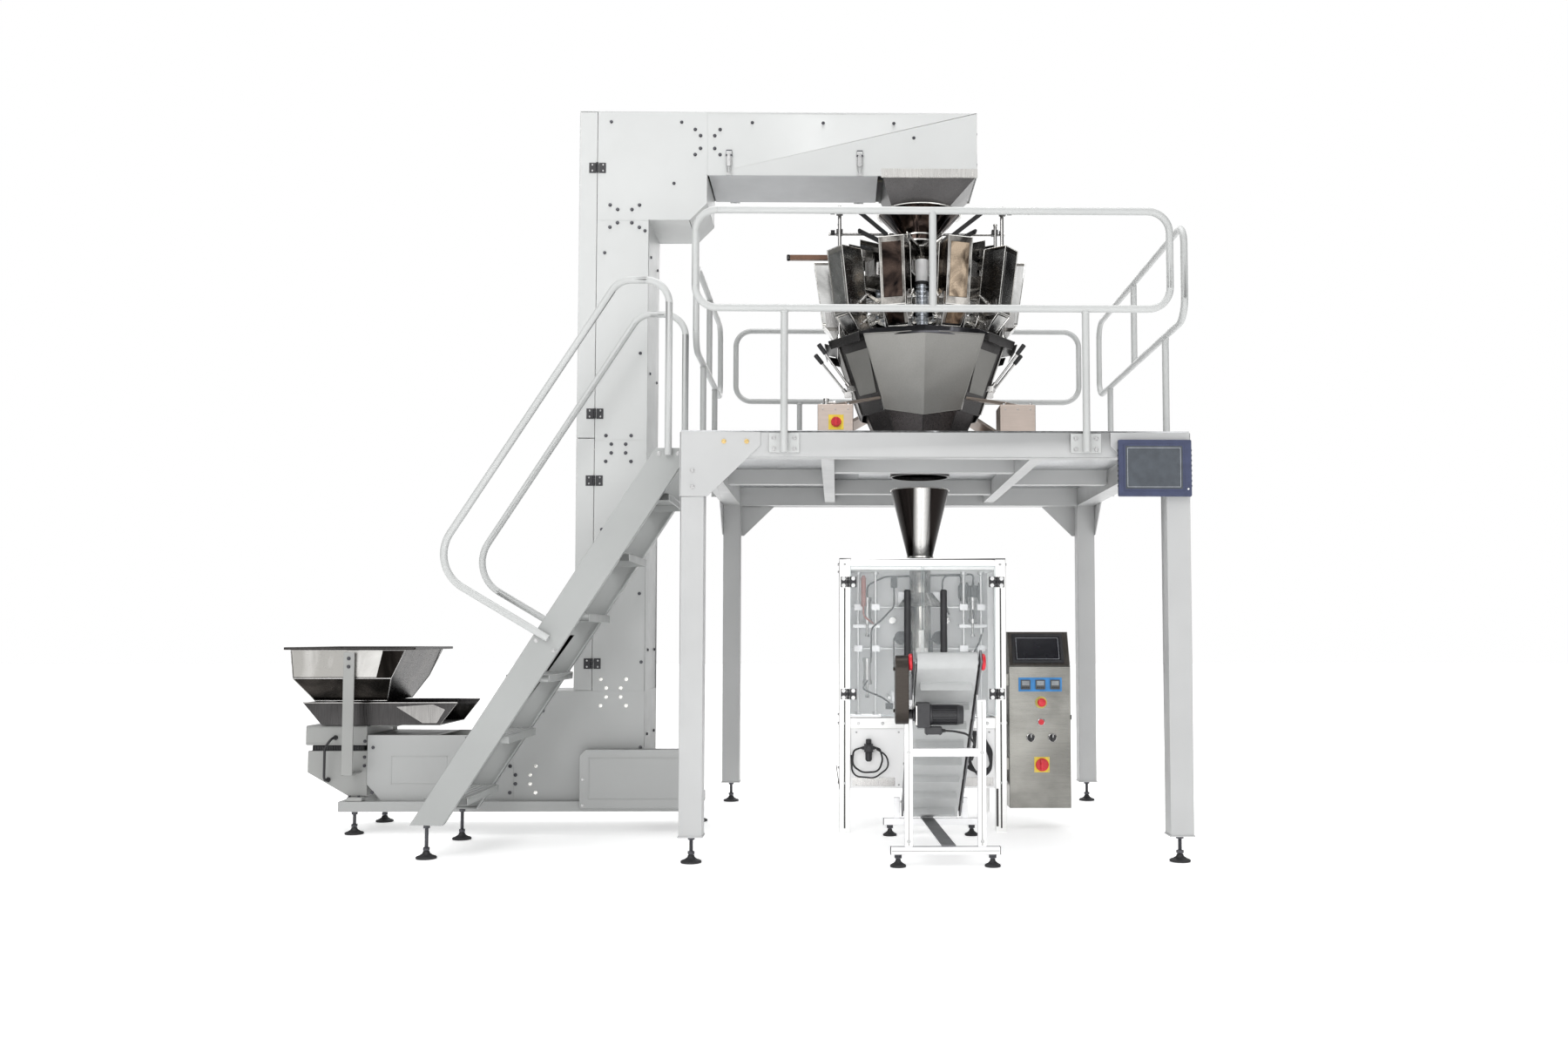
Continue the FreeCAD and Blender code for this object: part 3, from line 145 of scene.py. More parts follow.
def painted(name, colour, rough=0.38, mottle=0.05, low=1.0):
    """Powder coat: a faint orange peel, slow changes of tone, uneven gloss and a colour that darkens towards the floor.
    """
    made, tree, bsdf, place = shader(name)
    tone = noise(tree, place, 2.3, 3)
    coat = ramp(tree, tone, [(0.3, shade(colour, 1 - mottle)), (0.7, shade(colour, 1 + mottle))])
    # The colour darkens towards the floor, down to the factor low at floor level.
    floor_darkening = ramp(tree, along_axis(tree, place, "Z", 0.2, 1.8), [(0.0, grey(low)), (1.0, grey(1.0))])
    tree.links.new(times(tree, coat, floor_darkening), bsdf.inputs["Base Color"])
    gloss = noise(tree, place, 14, 5)
    tree.links.new(ramp(tree, gloss, [(0.3, grey(rough - 0.05)), (0.7, grey(rough + 0.08))]),
                   bsdf.inputs["Roughness"])
    bump(tree, bsdf, noise(tree, place, 520, 2), 0.10, 0.0006)
    return made


def brushed(name, colour, grain=(1, 1, 60), rough=0.3, contrast=0.14, cloud=0.10):
    """Brushed stainless: fine scratches along the grain and soft clouds of tone across the sheet."""
    made, tree, bsdf, place = shader(name)
    bsdf.inputs["Metallic"].default_value = 1.0
    bsdf.inputs["Anisotropic"].default_value = 0.4
    scratches = noise(tree, place, 9, 6, grain)
    clouds = noise(tree, place, 3.2, 4, distortion=0.6)
    grains = ramp(tree, scratches, [(0.3, shade(colour, 1 - contrast)), (0.7, shade(colour, 1 + contrast))])
    patches = ramp(tree, clouds, [(0.32, grey(1 - 2 * cloud)), (0.68, grey(1.0))])
    tree.links.new(times(tree, grains, patches), bsdf.inputs["Base Color"])
    tree.links.new(ramp(tree, scratches, [(0.25, grey(rough - 0.08)), (0.75, grey(rough + 0.1))]),
                   bsdf.inputs["Roughness"])
    bump(tree, bsdf, scratches, 0.12, 0.0004)
    return made


def streak_reflection(name, dark, bright, middle, half, rough=0.2):
    """Spun sheet with a painted reflection: a bright streak down its front, fading to dark at both sides."""
    made, tree, bsdf, place = shader(name)
    bsdf.inputs["Metallic"].default_value = 1.0
    across = along_axis(tree, place, "X", middle - half, middle + half)
    # Painted reflection: bright down the middle of the front, dark at both sides.
    reflection_band = ramp(tree, across, [(0.0, dark), (0.36, dark), (0.47, bright), (0.53, bright), (0.66, dark), (1.0, dark)])
    scratches = noise(tree, place, 9, 6, (40, 40, 1))
    tree.links.new(times(tree, reflection_band, ramp(tree, scratches, [(0.3, grey(0.75)), (0.7, grey(1.0))])),
                   bsdf.inputs["Base Color"])
    tree.links.new(ramp(tree, scratches, [(0.3, grey(rough - 0.06)), (0.7, grey(rough + 0.08))]),
                   bsdf.inputs["Roughness"])
    return made


def painted_reflections(name, dark, bright, rough=0.14, patch=5.0):
    """Bright sheet with painted reflections: uneven dark and light patches in its colour stand for the surroundings it
    mirrors.
    """
    made, tree, bsdf, place = shader(name)
    bsdf.inputs["Metallic"].default_value = 1.0
    # Painted reflections: patches of noise between the dark and the bright colour.
    patches = noise(tree, place, patch, 5, (1, 1, 0.6), 1.4)
    middle = tuple((a + b) / 2 for a, b in zip(dark, bright))
    tree.links.new(ramp(tree, patches, [(0.38, dark), (0.5, middle), (0.62, bright)]), bsdf.inputs["Base Color"])
    fine = noise(tree, place, 60, 4, (1, 1, 5))
    tree.links.new(ramp(tree, fine, [(0.3, grey(rough - 0.04)), (0.7, grey(rough + 0.1))]), bsdf.inputs["Roughness"])
    bump(tree, bsdf, noise(tree, place, 7, 3), 0.18, 0.004)
    return made


def moulded(name, colour, rough=0.45, texture=900, strength=0.15, mottle=0.15):
    """Moulded plastic or rubber with a fine spark-eroded texture."""
    made, tree, bsdf, place = shader(name)
    tone = noise(tree, place, 25, 3)
    tree.links.new(ramp(tree, tone, [(0.3, shade(colour, 1 - mottle)), (0.7, shade(colour, 1 + mottle))]),
                   bsdf.inputs["Base Color"])
    tree.links.new(ramp(tree, noise(tree, place, 60, 4), [(0.3, grey(rough - 0.06)), (0.7, grey(rough + 0.08))]),
                   bsdf.inputs["Roughness"])
    bump(tree, bsdf, noise(tree, place, texture, 2), strength, 0.0004)
    return made


def clear(name, colour, alpha, rough=0.04):
    """Clear sheet: mostly see-through, with a faint tint, smears and a glossy surface."""
    made, tree, bsdf, place = shader(name)
    bsdf.inputs["Alpha"].default_value = alpha
    tree.links.new(ramp(tree, noise(tree, place, 4, 4, distortion=1.0), [(0.35, shade(colour, 0.9)), (0.65, colour)]),
                   bsdf.inputs["Base Color"])
    tree.links.new(ramp(tree, noise(tree, place, 8, 5), [(0.4, grey(rough)), (0.75, grey(rough + 0.12))]),
                   bsdf.inputs["Roughness"])
    return made


# Faces larger than this many square metres are shaded flat, so long triangles leave no streaks.
SMOOTH_AREA = 0.03
FRAME_GREY = painted("frame_grey", (0.46, 0.465, 0.465))
# The stairs carry the frame's paint, here a darker copy as painted shade.
SHADED_STAIR_GREY = painted("stair_grey_painted_shade", (0.35, 0.36, 0.355))
RAIL_GREY = painted("rail_grey", (0.50, 0.51, 0.505), 0.32)
CASING_WHITE = painted("casing_white", (0.56, 0.57, 0.565), 0.4, 0.03, 0.62)
BOX_GREY = painted("vibrator_box_grey", (0.31, 0.314, 0.306), 0.4, 0.06)
# Painted light: the bagger's steel panels are shown near-white, brighter than their steel, where the chamber lies in
# shade.
LIT_PANEL_WHITE = painted("panel_painted_light", (0.93, 0.93, 0.93), 0.4, 0.03)
DECK_PLATE = brushed("deck_tread_plate", (0.62, 0.63, 0.64), (8, 8, 8), 0.4)
ZINC = brushed("zinc", (0.55, 0.55, 0.55), (20, 20, 20), 0.32)
BRASS = brushed("yellow_zinc", (0.78, 0.58, 0.26), (20, 20, 20), 0.3)
RUBBER = moulded("black_rubber", (0.020, 0.020, 0.022), 0.6)
BLACK_PLASTIC = moulded("black_plastic", (0.022, 0.022, 0.025), 0.42)
STAINLESS = brushed("stainless", (0.66, 0.65, 0.63), (60, 60, 1), 0.28)
STAINLESS_FLAT = brushed("stainless_flat", (0.70, 0.69, 0.66), (1, 60, 60), 0.3)
CABINET_STEEL = brushed("cabinet_steel", (0.34, 0.335, 0.31), (1, 1, 90), 0.3, 0.10, 0.2)
DARK_STEEL = brushed("dark_stainless", (0.085, 0.082, 0.082), (50, 50, 1), 0.3, 0.22, 0.2)
FUNNEL_STEEL = brushed("funnel_steel", (0.40, 0.39, 0.38), (40, 40, 1), 0.16, 0.2, 0.1)
CHUTE_GREY = brushed("chute_grey", (0.29, 0.286, 0.272), (30, 30, 30), 0.45, 0.10, 0.06)
MIRROR_STEEL = painted_reflections("mirror_stainless", (0.03, 0.028, 0.026), (0.50, 0.48, 0.45))
# A bright copy of the polished stainless, for the painted reflection on the infeed hopper's front.
HOPPER_REFLECTION = painted_reflections("hopper_painted_reflection", (0.40, 0.39, 0.37), (0.95, 0.94, 0.92), 0.3, 3.5)
STEEL = brushed("ground_steel", (0.48, 0.48, 0.50), (30, 30, 30), 0.3)
ALUMINIUM = brushed("anodised_aluminium", (0.90, 0.90, 0.91), (1, 1, 70), 0.42, 0.05, 0.03)
BELT_GREY = moulded("belt_grey", (0.48, 0.49, 0.49), 0.5, 500, 0.1, 0.03)
RED = moulded("red_plastic", (0.62, 0.015, 0.03), 0.28, 900, 0.04)
YELLOW = moulded("yellow_plastic", (0.82, 0.62, 0.05), 0.4, 900, 0.08)
BLUE = moulded("blue_plate", (0.03, 0.22, 0.55), 0.35, 900, 0.05)
BEZEL_BLUE = moulded("bezel_blue", (0.035, 0.045, 0.10), 0.38, 900, 0.12)
SCREEN = moulded("screen_grey", (0.062, 0.072, 0.085), 0.16, 900, 0.02)
SCREEN_DARK = moulded("screen_dark", (0.012, 0.012, 0.016), 0.12, 900, 0.02)
WHITE_PLASTIC = moulded("white_plastic", (0.90, 0.90, 0.90), 0.35, 700, 0.08, 0.04)
CREAM = moulded("bucket_plastic", (0.74, 0.73, 0.66), 0.45, 700, 0.1)
BROWN = moulded("brown_sensor", (0.16, 0.075, 0.04), 0.4, 700, 0.1)
FILM = clear("film", (0.90, 0.92, 0.94), 0.55, 0.12)
ACRYLIC = clear("clear_panel", (0.84, 0.90, 0.92), 0.13)

DARK_BOLT = brushed("dark_bolt", (0.10, 0.10, 0.11), (20, 20, 20), 0.35)
# The head's bottom cover is the casing paint, darker as painted shade on its downward face.
SHADED_UNDERSIDE_GREY = painted("underside_painted_shade", (0.42, 0.43, 0.44), 0.36)
# DARK_MIRROR, WARM_MIRROR, GREY_MIRROR, PALE_MIRROR and MIRROR_DARK are copies of the polished stainless that differ in
# their painted reflections.
DARK_MIRROR = painted_reflections("dark_mirror", (0.008, 0.007, 0.006), (0.040, 0.035, 0.031), 0.25, 4.0)
WARM_MIRROR = painted_reflections("warm_mirror", (0.04, 0.026, 0.018), (0.44, 0.35, 0.26), 0.12, 9.0)
GREY_MIRROR = painted_reflections("grey_mirror", (0.10, 0.10, 0.10), (0.42, 0.42, 0.41), 0.2, 4.0)
PALE_MIRROR = painted_reflections("pale_mirror", (0.45, 0.45, 0.44), (0.86, 0.86, 0.85), 0.14, 4.0)
PALE_BLUE = brushed("ribbed_column", (0.62, 0.66, 0.72), (30, 30, 3), 0.3, 0.08, 0.06)
MIRROR_DARK = painted_reflections("mirror_dark_patches", (0.006, 0.005, 0.006), (0.085, 0.060, 0.050), 0.1, 9.0)
EDGE_STEEL = brushed("bright_edge", (0.86, 0.85, 0.82), (30, 30, 30), 0.2, 0.08, 0.05)
STAINLESS_BRIGHT = brushed("stainless_bright", (0.58, 0.57, 0.56), (40, 40, 3), 0.2, 0.16, 0.16)
STAND_STEEL = brushed("stand_steel", (0.55, 0.47, 0.42), (1, 1, 50), 0.42, 0.08, 0.08)
# The lower funnel's stainless is painted dark as shade.
LOWER_FUNNEL_SHADE = brushed("lower_funnel_painted_shade", (0.11, 0.10, 0.10), (30, 30, 2), 0.3, 0.25, 0.2)
POST_STEEL = brushed("post_steel", (0.92, 0.92, 0.91), (1, 1, 60), 0.44, 0.05, 0.04)
PANEL_STEEL = brushed("panel_steel", (0.80, 0.80, 0.79), (60, 1, 1), 0.38, 0.07, 0.08)
WHITE_METAL = brushed("white_rod", (0.94, 0.94, 0.94), (1, 1, 30), 0.36, 0.04, 0.03)
RED_BROWN = moulded("red_brown", (0.42, 0.13, 0.10), 0.35, 700, 0.08)
ACRYLIC_EDGE = clear("clear_panel_edge", (0.80, 0.90, 0.92), 0.5, 0.1)
FILM_ROLL = moulded("film_roll_surface", (0.80, 0.82, 0.83), 0.22, 300, 0.05)
FILM_EDGE = moulded("film_roll_edge", (0.66, 0.68, 0.70), 0.4, 900, 0.2)
HOOD_DARK = brushed("slanted_hood", (0.12, 0.11, 0.10), (60, 1, 1), 0.32, 0.2, 0.15)
LINE_GREY = moulded("screen_outline", (0.45, 0.47, 0.50), 0.3, 900, 0.02)
CONTROLLER_GREY = moulded("controller_grey", (0.07, 0.075, 0.08), 0.4, 900, 0.1)
WINDOW_GREY = moulded("window_grey", (0.26, 0.28, 0.30), 0.3, 900, 0.02)
DULL_YELLOW = moulded("dull_yellow", (0.55, 0.47, 0.12), 0.5, 900, 0.08)
RAIL_DARK = brushed("conveyor_side", (0.24, 0.24, 0.25), (3, 3, 3), 0.4, 0.12, 0.1)
GUARD_BRONZE = brushed("chain_guard_bronze", (0.055, 0.048, 0.043), (4, 4, 30), 0.4, 0.15, 0.12)
# The filling funnel's colour holds a painted reflection down its front.
FUNNEL_REFLECTION = streak_reflection("filling_funnel_steel", (0.018, 0.015, 0.014), (0.80, 0.79, 0.77), DROP.x, 0.15)

PLAIN = {
    RUBBER: ("vibrator_cable",),
    STEEL: ("head_sprocket_shaft", "tail_sprocket_shaft"),
    CREAM: ("bucket_chain",),
}


# ------------------------------------------------------------------ shapes
def body_of(node):
    return next(name for name, nodes in RECORD["behaviour"]["bodies"].items() if node in nodes)


def slot_of(node):
    return next(entry["material_slot"] for entry in RECORD["subparts"] if entry["node"] == node)


def islands(mesh):
    """The separate solids of a mesh, each as its list of vertices."""
    left = set(mesh.verts)
    while left:
        found = [left.pop()]
        for vert in found:
            for edge in vert.link_edges:
                other = edge.other_vert(vert)
                if other in left:
                    left.discard(other)
                    found.append(other)
        yield found


def box_of(verts):
    """The lowest and highest corner of some vertices."""
    return tuple(Vector([pick(vert.co[axis] for vert in verts) for axis in range(3)]) for pick in (min, max))


def soften(mesh, width, angle=32):
    """Round the sharp edges of every solid, by less on a thin one."""
    for verts in list(islands(mesh)):
        lows, highs = box_of(verts)
        offset = min(width, 0.3 * min(highs - lows))
        edges = {edge for vert in verts for edge in vert.link_edges}
        sharp = [edge for edge in edges if edge.is_manifold and edge.calc_face_angle() > math.radians(angle)]
        if sharp and offset > 1e-5:
            bmesh.ops.bevel(mesh, geom=sharp, offset=offset, segments=2, profile=0.6, affect="EDGES",
                            clamp_overlap=True)


def show(name, mesh, material, body="root", stands_for=(), slot=None):
    """Make an object from a mesh in metres, let it ride a body and stand for CAD nodes."""
    data = bpy.data.meshes.new(name)
    bmesh.ops.recalc_face_normals(mesh, faces=mesh.faces)
    mesh.to_mesh(data)
    mesh.free()
    data.polygons.foreach_set("use_smooth", [face.area < SMOOTH_AREA for face in data.polygons])
    data.set_sharp_from_angle(angle=math.radians(40))
    obj = bpy.data.objects.new(name, data)
    bpy.context.scene.collection.objects.link(obj)
    data.materials.append(material)
    flat = obj.modifiers.new("flat_faces", "WEIGHTED_NORMAL")
    flat.keep_sharp = True
    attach(obj, body)
    if stands_for:
        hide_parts(*stands_for)
    return obj


def remade(node, width, material, keep=None, name=None, slot=None):
    """A CAD node with its flat faces rejoined and its edges rounded. keep chooses solids by their box."""
    mesh = bmesh.new()
    mesh.from_mesh(NODES[node].data)
    bmesh.ops.remove_doubles(mesh, verts=mesh.verts, dist=1e-6)
    if keep:
        gone = []
        for verts in list(islands(mesh)):
            lows, highs = ((corner - DROP) / MM for corner in box_of(verts))
            if not keep(lows, highs):
                gone += verts
        bmesh.ops.delete(mesh, geom=gone, context="VERTS")
    bmesh.ops.dissolve_limit(mesh, angle_limit=math.radians(1), verts=mesh.verts, edges=mesh.edges)
    soften(mesh, width * MM)
    return show(name or node + "_shown", mesh, material, body_of(node), (node,), slot or slot_of(node))


class Build:
    """Geometry gathered in millimetres from the drop axis and shown as one piece."""

    def __init__(self):
        self.mesh = bmesh.new()

    def faces(self, rings, closed=True):
        """Join rings of points, one after another, and cap the two ends."""
        made = [[self.mesh.verts.new(point) for point in ring] for ring in rings]
        count = len(made[0])
        for first, second in zip(made, made[1:]):
            for number in range(count):
                following = (number + 1) % count
                self.mesh.faces.new((first[number], first[following], second[following], second[number]))
        if closed:
            self.mesh.faces.new(made[0][::-1])
            self.mesh.faces.new(made[-1])
        else:
            for number in range(count):
                following = (number + 1) % count
                self.mesh.faces.new((made[-1][number], made[-1][following], made[0][following], made[0][number]))

    def box(self, x, y, z):
        ring = [(x[0], y[0]), (x[1], y[0]), (x[1], y[1]), (x[0], y[1])]
        self.faces([[Vector((a, b, level)) for a, b in ring] for level in z])

    def prism(self, outline, span, plane="xz"):
        """A flat outline in one plane, carried along the axis across it."""
        places = {"xz": lambda a, b, c: (a, c, b), "yz": lambda a, b, c: (c, a, b), "xy": lambda a, b, c: (a, b, c)}
        self.faces([[Vector(places[plane](a, b, level)) for a, b in outline] for level in span])

    def hull(self, low, high):
        """A solid between two outlines of as many points."""
        self.faces([[Vector(point) for point in low], [Vector(point) for point in high]])

    def lathe(self, start, direction, profile, sides=28):
        """A profile of (distance along, radius), turned about a line from start."""
        start, direction = Vector(start), Vector(direction).normalized()
        side = direction.orthogonal().normalized()
        other = direction.cross(side)
        rings = []
        for along, radius in profile:
            ring = []
            for number in range(sides):
                angle = 2 * math.pi * number / sides
                out = side * math.cos(angle) + other * math.sin(angle)
                ring.append(start + direction * along + out * max(radius, 0.01))
            rings.append(ring)
        self.faces(rings)

    def rod(self, start, end, radius, end_radius=None, sides=24):
        start, end = Vector(start), Vector(end)
        last = radius if end_radius is None else end_radius
        self.lathe(start, end - start, [(0, radius), ((end - start).length, last)], sides)

    def strut(self, start, end, width, depth, across=None):
        """A bar of rectangular section between two points; across is the way its width runs."""
        start, end = Vector(start), Vector(end)
        along = (end - start).normalized()
        side = Vector(across).normalized() if across else along.orthogonal().normalized()
        side = (side - along * side.dot(along)).normalized()
        other = along.cross(side)
        corners = ((-1, -1), (1, -1), (1, 1), (-1, 1))
        self.faces([[end_point + side * width / 2 * a + other * depth / 2 * b for a, b in corners]
                    for end_point in (start, end)])

    def pipe(self, points, radius, bend=40, sides=12, steps=6):
        """A round hose or wire through points, its corners turned at the bend radius."""
        points = [Vector(point) for point in points]
        path = [points[0]]
        for before, corner, after in zip(points, points[1:], points[2:]):
            into, out = (before - corner), (after - corner)
            turn = math.pi - into.angle(out)
            reach = min(bend * math.tan(turn / 2), 0.48 * into.length, 0.48 * out.length)
            first, last = corner + into.normalized() * reach, corner + out.normalized() * reach
            for step in range(steps + 1):
                share = step / steps
                path.append((1 - share) ** 2 * first + 2 * share * (1 - share) * corner + share ** 2 * last)
        path.append(points[-1])
        side = (path[1] - path[0]).orthogonal().normalized()
        rings = []
        for number, place in enumerate(path):
            along = path[min(number + 1, len(path) - 1)] - path[max(number - 1, 0)]
            side = (side - along * side.dot(along) / along.length_squared).normalized()
            other = along.normalized().cross(side)
            rings.append([place + (side * math.cos(angle) + other * math.sin(angle)) * radius
                          for angle in (2 * math.pi * turn / sides for turn in range(sides))])
        self.faces(rings)

    def spring(self, start, end, radius, wire, turns):
        """A coil spring with hooked ends between two points."""
        start, end = Vector(start), Vector(end)
        along = (end - start)
        side = along.orthogonal().normalized()
        other = along.normalized().cross(side)
        points = [start]
        for step in range(turns * 8 + 1):
            angle = 2 * math.pi * step / 8
            share = 0.12 + 0.76 * step / (turns * 8)
            points.append(start + along * share + (side * math.cos(angle) + other * math.sin(angle)) * radius)
        points.append(end)
        self.pipe(points, wire, bend=3, sides=5, steps=1)

    def hex_bolt(self, place, out, across=16, high=8, washer=True):
        """A hexagon head on a washer, with a shallow dome."""
        place, out = Vector(place), Vector(out).normalized()
        radius = across / math.sqrt(3)
        base = 0
        if washer:
            self.lathe(place, out, [(0, radius * 1.22), (1.6, radius * 1.22)], 20)
            base = 1.6
        self.lathe(place, out, [(base, radius), (base + high * 0.85, radius), (base + high, radius * 0.82)], 6)

    def dome_screw(self, place, out, radius=4.5):
        """A round head with a socket in it."""
        self.lathe(place, out, [(0, radius), (radius * 0.35, radius * 0.95), (radius * 0.62, radius * 0.62),
                                (radius * 0.66, radius * 0.45), (radius * 0.3, radius * 0.42)], 14)

    def around(self, angles):
        """Stand a copy of everything so far at each angle about the drop axis, from the front."""
        source = list(self.mesh.verts) + list(self.mesh.edges) + list(self.mesh.faces)
        for angle in angles:
            copied = bmesh.ops.duplicate(self.mesh, geom=source)["geom"]
            verts = [item for item in copied if isinstance(item, bmesh.types.BMVert)]
            bmesh.ops.rotate(self.mesh, verts=verts, cent=(0, 0, 0), matrix=Matrix.Rotation(math.radians(angle), 3, "Z"))
        bmesh.ops.delete(self.mesh, geom=source, context="VERTS")
        return self

    def both(self, middle=0):
        """Add the mirror image about a plane across X."""
        source = list(self.mesh.verts) + list(self.mesh.edges) + list(self.mesh.faces)
        copied = bmesh.ops.duplicate(self.mesh, geom=source)["geom"]
        for item in copied:
            if isinstance(item, bmesh.types.BMVert):
                item.co.x = 2 * middle - item.co.x
        return self

    def show(self, name, material, body="root", edge=0.0, stands_for=(), slot=None):
        bmesh.ops.recalc_face_normals(self.mesh, faces=self.mesh.faces)
        if edge:
            soften(self.mesh, edge)
        for vert in self.mesh.verts:
            vert.co = row(vert.co)
        return show(name, self.mesh, material, body, stands_for, slot)


# ------------------------------------------------------------------ platform and stairs
FRAME_EDGE = 6
RAIL_PLANE = 1126


def bolt_places(node):
    """The middle and the outward direction of each bolt of a CAD node, from its flattest side."""
    mesh = bmesh.new()
    mesh.from_mesh(NODES[node].data)
    bmesh.ops.remove_doubles(mesh, verts=mesh.verts, dist=1e-6)
    for verts in islands(mesh):
        lows, highs = ((corner - DROP) / MM for corner in box_of(verts))
        spans = highs - lows
        axis = min(range(3), key=lambda number: spans[number])
        middle = (lows + highs) / 2
        out = Vector((0, 0, 0))
        out[axis] = 1 if middle[axis] > 0 else -1
        middle[axis] = lows[axis] if out[axis] > 0 else highs[axis]
        yield middle, out
    mesh.free()


def platform():
    remade("platform_frame", FRAME_EDGE, FRAME_GREY)
    for node in ("stair_stringers", "stair_treads"):
        remade(node, 1.6, SHADED_STAIR_GREY)
    for node in ("platform_handrails", "stair_handrails"):
        remade(node, 2.5, RAIL_GREY)
    remade("deck_plate", 1.5, DECK_PLATE)
    plain, plated = Build(), Build()
    for place, out in bolt_places("frame_bolts"):
        on_beam = max(abs(place.x), abs(place.y)) < 1108 and place.z > 1790
        (plated if on_beam else plain).hex_bolt(place, out, 15, 7)
    plain.show("post_bolts", ZINC, edge=0.5, stands_for=("frame_bolts",), slot="zinc")
    plated.show("gusset_bolts", BRASS, edge=0.5, stands_for=("frame_bolts",), slot="zinc")

    trim = Build()
    for x in (-1, 1):
        for y in (-1, 1):
            trim.box(sorted((x * 996, x * 1104)), sorted((y * 996, y * 1104)), (112, 118))
    trim.show("leg_foot_plates", FRAME_GREY, edge=1.2, slot="frame_paint")
    welds = Build()
    for x in (-1050, 1050):
        for y in (-1000, 1000):
            inward = -1 if y > 0 else 1
            welds.rod((x - 46, y + inward, 1744), (x + 46, y + inward, 1744), 3.5, sides=10)
    for side in (-1, 1):
        for y in (-1050, 1050):
            welds.rod((side * 1000, y - 46, 1744), (side * 1000, y + 46, 1744), 3.5, sides=10)
    welds.show("leg_welds", FRAME_GREY, slot="frame_paint")

    collars = Build()
    posts = [(x, side * RAIL_PLANE) for side in (-1, 1) for x in (-655, 650)]
    posts += [(RAIL_PLANE, y) for y in (-615, 630)] + [(-RAIL_PLANE, y) for y in (60, 690)]
    for x, y in posts:
        collars.lathe((x, y, 2366), Z_AXIS, [(0, 16.4), (3, 18.5), (8, 16.4)], 20)
    collars.show("rail_welds", RAIL_GREY, slot="rail_paint")

    treads = Build()
    for number in range(6):
        top = 262 + 268.5 * number
        low, high = tread_span(number)
        for rib in range(7):
            x = low + 18 + (high - low - 36) * rib / 6
            treads.box((x - 3, x + 3), (-935, -385), (top, top + 2.2))
    treads.show("tread_ribs", FRAME_GREY, edge=0.6, slot="frame_paint")


def tread_span(number):
    """The front and back edge of a stair tread, read from the CAD treads."""
    rise = 262 + 268.5 * number
    mesh = NODES["stair_treads"].data
    near = [(DROP * -1 + vert.co).x / MM for vert in mesh.vertices if abs((vert.co.z / MM) - rise) < 1]
    return min(near), max(near)


def feet():
    mesh = bmesh.new()
    mesh.from_mesh(NODES["levelling_feet"].data)
    bmesh.ops.remove_doubles(mesh, verts=mesh.verts, dist=1e-6)
    pads, stems = Build(), Build()
    for verts in islands(mesh):
        lows, highs = ((corner - DROP) / MM for corner in box_of(verts))
        if lows.z > 1:
            continue
        x, y = ((lows + highs) / 2).xy
        radius = (highs.x - lows.x) / 2
        top = foot_top(mesh, x, y)
        pads.lathe((x, y, 0), Z_AXIS, [(0, radius * 0.97), (3, radius), (8, radius), (11, radius * 0.9),
                                       (17, radius * 0.5), (26, radius * 0.34), (33, radius * 0.3)], 32)
        for rib in range(8):
            angle = math.pi * rib / 4
            way = Vector((math.cos(angle), math.sin(angle), 0))
            foot = Vector((x, y, 0))
            pads.hull([foot + way * radius * 0.85 + side * 1.5 + Z_AXIS * 8 for side in
                       (way.cross(Z_AXIS), way.cross(Z_AXIS) * -1)] +
                      [foot + way * radius * 0.3 + side * 1.5 + Z_AXIS * 8 for side in
                       (way.cross(Z_AXIS) * -1, way.cross(Z_AXIS))],
                      [foot + way * radius * 0.8 + side * 1.5 + Z_AXIS * 11 for side in
                       (way.cross(Z_AXIS), way.cross(Z_AXIS) * -1)] +
                      [foot + way * radius * 0.34 + side * 1.5 + Z_AXIS * 24 for side in
                       (way.cross(Z_AXIS) * -1, way.cross(Z_AXIS))])
        profile = []
        for turn in range(int((top - 34) / 4)):
            up = 34 + 4 * turn
            profile += [(up, 7.4), (up + 2, 8.4)]
        stems.lathe((x, y, 0), Z_AXIS, [(30, 8)] + profile + [(top, 8)], 18)
        stems.lathe((x, y, 0), Z_AXIS, [(36, 15), (38, 16), (47, 16), (49, 15)], 6)
        stems.lathe((x, y, 0), Z_AXIS, [(top - 14, 15), (top - 12, 16), (top - 2, 16), (top, 15)], 6)
    mesh.free()
    pads.show("foot_pads", RUBBER, edge=1.0, stands_for=("levelling_feet",), slot="black_rubber")
    stems.show("foot_stems", DARK_BOLT, stands_for=("levelling_feet",), slot="black_rubber")


def foot_top(mesh, x, y):
    """How high the levelling foot that stands at a place reaches."""
    return max(vert.co.z / MM for vert in mesh.verts
               if abs((vert.co.x - DROP.x) / MM - x) < 14 and abs((vert.co.y - DROP.y) / MM - y) < 14)


# ------------------------------------------------------------------ bucket elevator
FRONT_WALL = -200
CROSS_GROUPS = ((-1085, 3472, 63, 65, 36, 33), (-1501, 3088, 74, 57, 36, 34), (-1521, 1906, 63, 65, 36, 22),
                (-1534, 690, 63, 65, 36, 22), (-1975, 263, 63, 65, 36, 22))
TOP_ROW = [(x, 3574) for x in (-1573, -1217, -859, -499, -140)]
LONE_BOLTS = TOP_ROW + [(-1254, 3258), (-38, 3499), (-1398, 3013), (-1416, 2388), (-1600, 2900), (-1600, 1500),
                        (-1410, 1500), (-1600, 1180), (-1410, 1180), (-1880, 600), (-1398, 840), (-1398, 420),
                        (-2180, 205), (-2712, 420), (-2712, 200)]
HINGE_PLACES = {"upper_side_door": (3335, 2081), "lower_side_door": (1744, 832)}
LATCH_PLACES = (-976, -313)
SEAM = -1641


